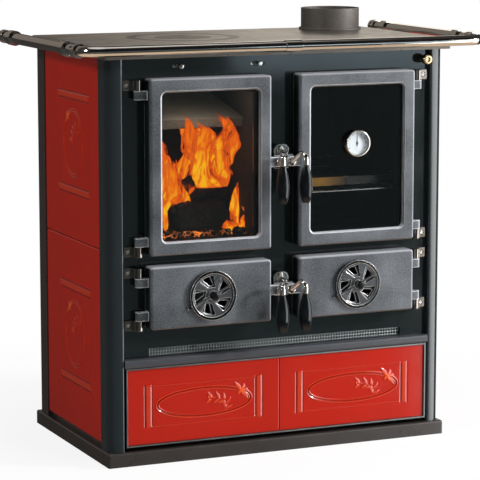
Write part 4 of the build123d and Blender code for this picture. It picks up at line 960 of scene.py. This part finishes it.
def glowing(name, cold, hot, scale, start, strength):
    """Charred skin with glowing cracks."""
    shader = new_material(name, cold, Roughness=0.95, Emission_Strength=strength)
    tree = shader.id_data
    crack = add_node(tree, "ShaderNodeTexVoronoi", feature="DISTANCE_TO_EDGE", Scale=scale,
                     Vector=coordinates(tree)).outputs["Distance"]
    cloud = object_noise(tree, 22.0, 4.0)
    glow = product(map_range(crack, 0.12, 0.0),
                   map_range(cloud, start, start + 0.2))
    pale = tuple(3.0 * c for c in cold)
    set_inputs(shader, Emission_Color=mix_colors(glow, (0.0, 0.0, 0.0), hot),
               Base_Color=mix_colors(map_range(cloud, 0.35, 0.75), cold, pale),
               Normal=add_node(tree, "ShaderNodeBump", Height=crack, Distance=2.0 * MM,
                               Strength=0.8))


def log_mesh(name, start, end, radius, seed):
    """A split log: a rough tube with blunt ends."""
    axis = (end - start).normalized()
    side = axis.cross(Vector((0, 0, 1))).normalized()
    up = side.cross(axis)
    rings, around = 26, 28
    shift = Vector((seed * 3.7, seed * 1.3, seed * 2.1))
    points = []
    for i in range(rings + 1):
        share = i / rings
        taper = radius * min(1.0, 0.55 + 6 * min(share, 1 - share))
        center = start.lerp(end, share)
        for j in range(around):
            turn = 2 * math.pi * j / around
            skin = Vector((math.cos(turn) * 2.2, math.sin(turn) * 2.2, share * 3.0)) + shift
            rough = 1 + 0.16 * noise.noise(skin) + 0.12 * noise.noise(skin * 4.3)
            split = 1 - 0.22 * max(0.0, math.cos(turn - 2.0 - seed)) ** 2
            reach = taper * rough * split
            points.append(center + side * (reach * math.cos(turn)) + up * (reach * math.sin(turn)))
    faces = ring_faces(rings + 1, around)
    first, last = len(points), len(points) + 1
    for j in range(around):
        k = (j + 1) % around
        faces += [(first, k, j), (last, rings * around + j, rings * around + k)]
    return mesh_from(name, points + [start, end], faces, 50.0)


glowing("charred_wood", (0.010, 0.008, 0.007), (1.0, 0.22, 0.03), 60.0, 0.66, 1.2)
grate_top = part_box("fire_grate")[1].z
lift = Vector((0, 0, grate_top))
LOGS = (("fire_log_back", (-0.200, -0.02, 0.036), (-0.060, 0.005, 0.040), 0.034, 1.0),
        ("fire_log_front", (-0.215, -0.100, 0.030), (-0.085, -0.090, 0.034), 0.037, 2.0),
        ("fire_log_top", (-0.165, -0.085, 0.090), (-0.075, -0.050, 0.088), 0.030, 3.0))
for name, start, end, radius, seed in LOGS:
    add_piece(log_mesh(name, Vector(start) + lift, Vector(end) + lift, radius, seed),
              "stove_body", "fire_clay", "charred_wood")
print("logs:", len(LOGS), "on the grate at", round(grate_top, 4))

# %% The bed of embers
BED_X, BED_Y = (-0.245, -0.060), (-0.150, 0.060)
EMBER_DENSITY = 12000.0
EMBER_MIN, EMBER_MAX = 4.5 * MM, 9.0 * MM
EMBER_SEED = 7


def scattered_stones(tree, inside):
    """Small stones scattered over the seed's faces."""
    scatter = add_node(tree, "GeometryNodeDistributePointsOnFaces", Mesh=inside["Geometry"],
                       Density=inside["Density"], Seed=inside["Seed"])
    size = add_node(tree, "FunctionNodeRandomValue", Seed=inside["Seed"])
    limits = [s for s in size.inputs if s.name in ("Min", "Max") and s.type == "VALUE"]
    for socket, label in zip(limits, ("Size Min", "Size Max")):
        feed(socket, inside[label])
    turn = add_node(tree, "FunctionNodeRandomValue", data_type="FLOAT_VECTOR",
                    Max=(6.283, 6.283, 6.283))
    stone = add_node(tree, "GeometryNodeMeshIcoSphere", Subdivisions=2)
    return set_on_points(tree, inside, scatter, stone, Rotation=turn,
                         Scale=next(s for s in size.outputs if s.type == "VALUE"))


glowing("embers", (0.02, 0.014, 0.011), (1.0, 0.24, 0.03), 90.0, 0.50, 1.6)
bed = bpy.data.meshes.new("ember_area")
bed.from_pydata([(BED_X[i], BED_Y[j], grate_top + 6 * MM)
                 for i, j in ((0, 0), (1, 0), (1, 1), (0, 1))], [], [(0, 1, 2, 3)])
mesh = grow("ember_bed", scattered_stones, bed, Density=EMBER_DENSITY, Size_Min=EMBER_MIN,
            Size_Max=EMBER_MAX, Seed=EMBER_SEED, Material=M["embers"])
for vertex in mesh.vertices:
    place = vertex.co * 160.0
    vertex.co += 2.5 * MM * Vector([noise.noise(place + k * Vector((9.3, -4.1, 7.7)))
                                    for k in range(3)])
    vertex.co.z = max(vertex.co.z, grate_top + 0.2 * MM)
mesh.shade_smooth()
mesh.set_sharp_from_angle(angle=math.radians(30.0))
add_piece(mesh, "stove_body", "fire_clay", "embers")
print("ember faces:", len(mesh.polygons))

# %% What a flame looks like
COOL_TIP = (0.30, 0.012, 0.0)
FIRE_TONES = ((0.03, 0.25, (0.66, 0.075, 0.005)), (0.20, 0.50, (0.84, 0.135, 0.002)),
              (0.52, 0.92, (1.0, 0.47, 0.010)))


def flame_material():
    """Light without a skin: strands of fire, bright at the heart, clear at the rim."""
    shader = new_material("flame", (0.0, 0.0, 0.0), Roughness=1.0, Specular_IOR_Level=0.0,
                          Emission_Strength=1.1)
    tree = shader.id_data
    warmth = add_node(tree, "ShaderNodeAttribute", attribute_name="warmth").outputs["Fac"]
    rim = add_node(tree, "ShaderNodeLayerWeight", Blend=0.5)
    stretch = add_node(tree, "ShaderNodeMapping", Vector=coordinates(tree),
                       Rotation=(0.0, 0.25, 0.0), Scale=(24.0, 24.0, 8.0))
    streak = add_node(tree, "ShaderNodeTexNoise", Vector=stretch, Scale=1.0, Detail=3.0,
                      Roughness=0.55, Distortion=2.0)
    core = product(map_range(streak.outputs["Fac"], 0.41, 0.63, 0.04, 1.0),
                   map_range(warmth, 0.0, 0.7, 0.45, 1.0),
                   math_node("SUBTRACT", 1.0, rim.outputs["Facing"]))
    color = COOL_TIP
    for start, end, tone in FIRE_TONES:
        color = mix_colors(map_range(core, start, end), color, tone)
    clear = product(map_range(core, 0.06, 0.34), map_range(warmth, 0.0, 0.25))
    set_inputs(shader, Emission_Color=color, Alpha=clear)


flame_material()
print("fire tones:", len(FIRE_TONES) + 1)

# %% Ten flames


def flame_mesh(name, foot, height, width, lean, seed, limit):
    """A tongue that bulges low, sways with noise and spreads under the limit."""
    rings, around = 30, 18
    points, warmth = [], []
    for i in range(rings + 1):
        share = i / rings
        bulge = (share + 0.04) ** 0.35 * (1 - share) ** 0.85 * 1.55
        sway = noise.noise(Vector((share * 3.4, seed * 5.1, 0.3))) * share * 0.9
        center = foot + Vector(((lean * share ** 1.6 + sway) * width, 0, height * share))
        for j in range(around):
            turn = 2 * math.pi * j / around
            skin = Vector((1.3 * math.cos(turn), 1.3 * math.sin(turn) + 7 * seed, share * 6))
            reach = width / 2 * bulge * (1 + 0.55 * noise.noise(skin))
            point = center + Vector((reach * math.cos(turn), 0.45 * reach * math.sin(turn), 0))
            point.z = min(point.z, limit + 0.5 * MM * share)
            points.append(point)
            warmth.append((1 - share) ** 0.8)
    faces = ring_faces(rings + 1, around)
    faces += [tuple(range(around)), tuple(rings * around + j for j in range(around))]
    return mesh_from(name, points, faces, 80.0, warmth=warmth)


baffle_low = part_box("smoke_baffle")[0]
ceiling, baffle_front = baffle_low.z - 1.0 * MM, baffle_low.y - 10.0 * MM
FRONT_RISE = 36.0 * MM
# Each flame: its foot over the grate, height, width and lean.
FLAMES = (((-0.125, -0.040, 0.045), 0.260, 0.100, -0.10),
          ((-0.150, -0.128, 0.100), 0.155, 0.060, -0.70),
          ((-0.112, -0.130, 0.100), 0.150, 0.060, 0.75),
          ((-0.138, -0.132, 0.100), 0.140, 0.075, -0.20),
          ((-0.198, -0.085, 0.005), 0.220, 0.082, -0.35),
          ((-0.185, -0.105, 0.000), 0.115, 0.060, 0.20),
          ((-0.054, -0.085, 0.010), 0.105, 0.034, 0.15),
          ((-0.048, -0.115, 0.000), 0.055, 0.034, -0.30),
          ((-0.088, -0.130, 0.000), 0.045, 0.040, 0.20),
          ((-0.122, -0.134, 0.100), 0.160, 0.065, 0.25))
for number, (foot, height, width, lean) in enumerate(FLAMES, 1):
    limit = ceiling + FRONT_RISE * (foot[1] < baffle_front)
    mesh = flame_mesh(f"flame_{number}", Vector(foot) + lift, height, width, lean, number, limit)
    add_piece(mesh, "stove_body", "fire_clay", "flame").visible_shadow = False
print("flames:", len(FLAMES))

# %% [markdown]
# ## Studio lights
# The highlights on the pillars and grips show large soft lights to the right
# and upper left. Area lamps give such soft edges. Small lamps inside the stove
# stand for the glow of the fire; they light the linings but are never seen.

# %% Lights
TARGET = (0.0, 0.0, 0.45)


def add_light(name, kind, place, power, color, **values):
    """A lamp at a place; returns its object."""
    data = bpy.data.lights.new(name, kind)
    for key, value in dict(values, energy=power, color=color).items():
        setattr(data, key, value)
    light = new_object(name, data)
    light.location = place
    return light


def area_light(name, place, size, power, color=(1, 1, 1), target=TARGET, height=None):
    """A rectangular soft light aimed at a point."""
    light = add_light(name, "AREA", place, power, color, shape="RECTANGLE", size=size,
                      size_y=height or size)
    light.rotation_euler = (Vector(target) - Vector(place)).to_track_quat("-Z", "Y").to_euler()
    return light


def inner_light(name, place, power, color, radius):
    """A small lamp inside the stove that is never seen itself."""
    light = add_light(name, "POINT", place, power, color, shadow_soft_size=radius)
    light.visible_camera = light.visible_glossy = light.visible_transmission = False


area_light("key_light", (3.5, -2.3, 2.0), 0.38, 190)
area_light("right_card", (2.245, -1.54, 0.4), 2.15, 62, target=(1.445, -0.94, 0.4), height=2.2)
area_light("top_light", (0.4, -1.7, 3.0), 0.9, 26).visible_glossy = False
area_light("left_light", (-4.1, -0.7, 2.5), 0.6, 66)
area_light("hob_light", (1.6, 2.7, 2.1), 0.9, 3.6, (1.0, 0.93, 0.83), target=(0, 0, 0.86))
area_light("blue_card", (2.2, -4.2, 0.72), 1.0, 3.0, (0.7, 0.88, 1.0), height=0.6)
inner_light("fire_light", (-0.13, -0.06, 0.62), 0.04, (1.0, 0.42, 0.13), 0.04)
inner_light("ember_light", (-0.15, -0.13, 0.49), 0.03, (1.0, 0.30, 0.06), 0.02)
inner_light("baffle_light", (-0.165, -0.160, 0.745), 0.5, (1.0, 0.85, 0.7), 0.01)
inner_light("oven_light", (0.050, -0.05, 0.61), 0.05, (1.0, 0.55, 0.2), 0.02)
print("lamps:", len(bpy.data.lights))

# %% [markdown]
# ## Floor and backdrop
# The stove stands on a pale floor that turns to pure white with distance, so
# no horizon shows. The world is white for the camera, soft grey as a light,
# and a room with dark and bright parts in reflections: chrome and black
# enamel show only what they mirror. Light Path tells these rays apart.

# %% Floor
FLOOR_LEFT, FLOOR_FRONT, FLOOR_BACK = 4.0, 2.2, 5.0
CLEAR_FROM, CLEAR_TO, CLEAR_NEAR = 0.45, 1.25, 0.86
WHITE = (1.0, 1.0, 1.0)


def ray_mask(rays, *kinds):
    """A mask that is 1 for the given kinds of rays."""
    mask = rays.outputs[kinds[0]]
    for kind in kinds[1:]:
        mask = math_node("MAXIMUM", mask, rays.outputs[kind])
    return mask


def mix_shaders(factor, first, second):
    """Blend of two shaders."""
    mix = factor.id_data.nodes.new("ShaderNodeMixShader")
    for socket, value in zip(mix.inputs, (factor, first, second)):
        feed(socket, value)
    return mix


floor_mesh = bpy.data.meshes.new("floor")
floor_mesh.from_pydata([(-FLOOR_LEFT, -FLOOR_FRONT, 0), (FLOOR_LEFT, -FLOOR_FRONT, 0),
                        (FLOOR_LEFT, FLOOR_BACK, 0), (-FLOOR_LEFT, FLOOR_BACK, 0)], [],
                       [(0, 1, 2, 3)])
floor = new_object("floor", floor_mesh)
shader = new_material("pale_floor", (0.84, 0.84, 0.84), Roughness=0.9)
floor_mesh.materials.append(M["pale_floor"])
tree = shader.id_data
away = add_node(tree, "ShaderNodeVectorMath", operation="LENGTH")
feed(away.inputs[0], coordinates(tree))
rays = tree.nodes.new("ShaderNodeLightPath")
seen = ray_mask(rays, "Is Camera Ray", "Is Glossy Ray", "Is Transmission Ray")
clear = map_range(away.outputs["Value"], CLEAR_FROM, CLEAR_TO, CLEAR_NEAR, 1.0)
white = add_node(tree, "ShaderNodeEmission", Color=WHITE, Strength=1.0)
set_inputs(tree.nodes["Material Output"],
           Surface=mix_shaders(product(seen, clear), shader, white))
floor.visible_glossy = False
print("floor reaches", FLOOR_BACK, "m behind the stove")

# %% Backdrop
ROOM = (0.050, 0.046, 0.042)
# What the room shows in reflections: colour, and where it fades in along each axis.
ROOM_PARTS = {
    "dark front": ((0.010, 0.010, 0.011), ("y", -0.2, -0.5), ("steep", 0.80, 0.70)),
    "front sheen": ((0.11, 0.135, 0.14), ("y", -0.3, -0.7), ("z", 0.04, -0.04),
                    ("z", -0.36, -0.28)),
    "warm wall": ((0.80, 0.71, 0.60), ("y", 0.15, 0.55), ("steep", 0.6, 0.25),
                  ("x", 0.30, 0.40), ("x", 0.51, 0.46)),
    "left wall": ((0.24, 0.21, 0.18), ("x", 0.24, 0.14), ("y", 0.55, 0.75), ("z", 0.02, 0.08)),
    "ceiling": ((0.95, 0.93, 0.90), ("z", 0.885, 0.915)),
    "warm floor": ((0.85, 0.65, 0.46), ("z", -0.48, -0.68)),
}
world = bpy.data.worlds.new("backdrop")
bpy.context.scene.world = world
world.use_nodes = True
tree = world.node_tree
tree.nodes.clear()
axes = dict(zip("xyz", axes_of(tree, "Generated")))
axes["steep"] = math_node("ABSOLUTE", axes["z"])
room = ROOM
for color, *limits in ROOM_PARTS.values():
    masks = [map_range(axes[axis], start, end) for axis, start, end in limits]
    room = mix_colors(product(*masks), room, color)
rays = tree.nodes.new("ShaderNodeLightPath")
soft = add_node(tree, "ShaderNodeBackground", Color=(0.25, 0.25, 0.255), Strength=1.0)
shiny = add_node(tree, "ShaderNodeBackground", Color=room, Strength=1.0)
white = add_node(tree, "ShaderNodeBackground", Color=WHITE, Strength=1.0)
mirrored = ray_mask(rays, "Is Glossy Ray", "Is Transmission Ray")
light = mix_shaders(mirrored, soft, shiny)
add_node(tree, "ShaderNodeOutputWorld",
         Surface=mix_shaders(rays.outputs["Is Camera Ray"], light, white))
print("parts of the room:", ", ".join(ROOM_PARTS))

# %% [markdown]
# ## Camera
# The place, turn and lens were solved from the stove's own parallel edges.

# %% Camera and view
CAMERA_PLACE = (-2.0280, -4.5754, 1.1993)
CAMERA_DOWN, CAMERA_RIGHT = 8.829, 23.828
LENS, SENSOR = 175.82, 36.0
camera_data = bpy.data.cameras.new("camera")
camera_data.sensor_width = SENSOR
camera_data.lens = LENS
camera_data.clip_end = 200.0
camera = new_object("camera", camera_data)
camera.location = CAMERA_PLACE
camera.rotation_euler = (math.radians(90.0 - CAMERA_DOWN), 0.0, math.radians(-CAMERA_RIGHT))
bpy.context.scene.camera = camera
bpy.context.scene.view_settings.view_transform = "Standard"
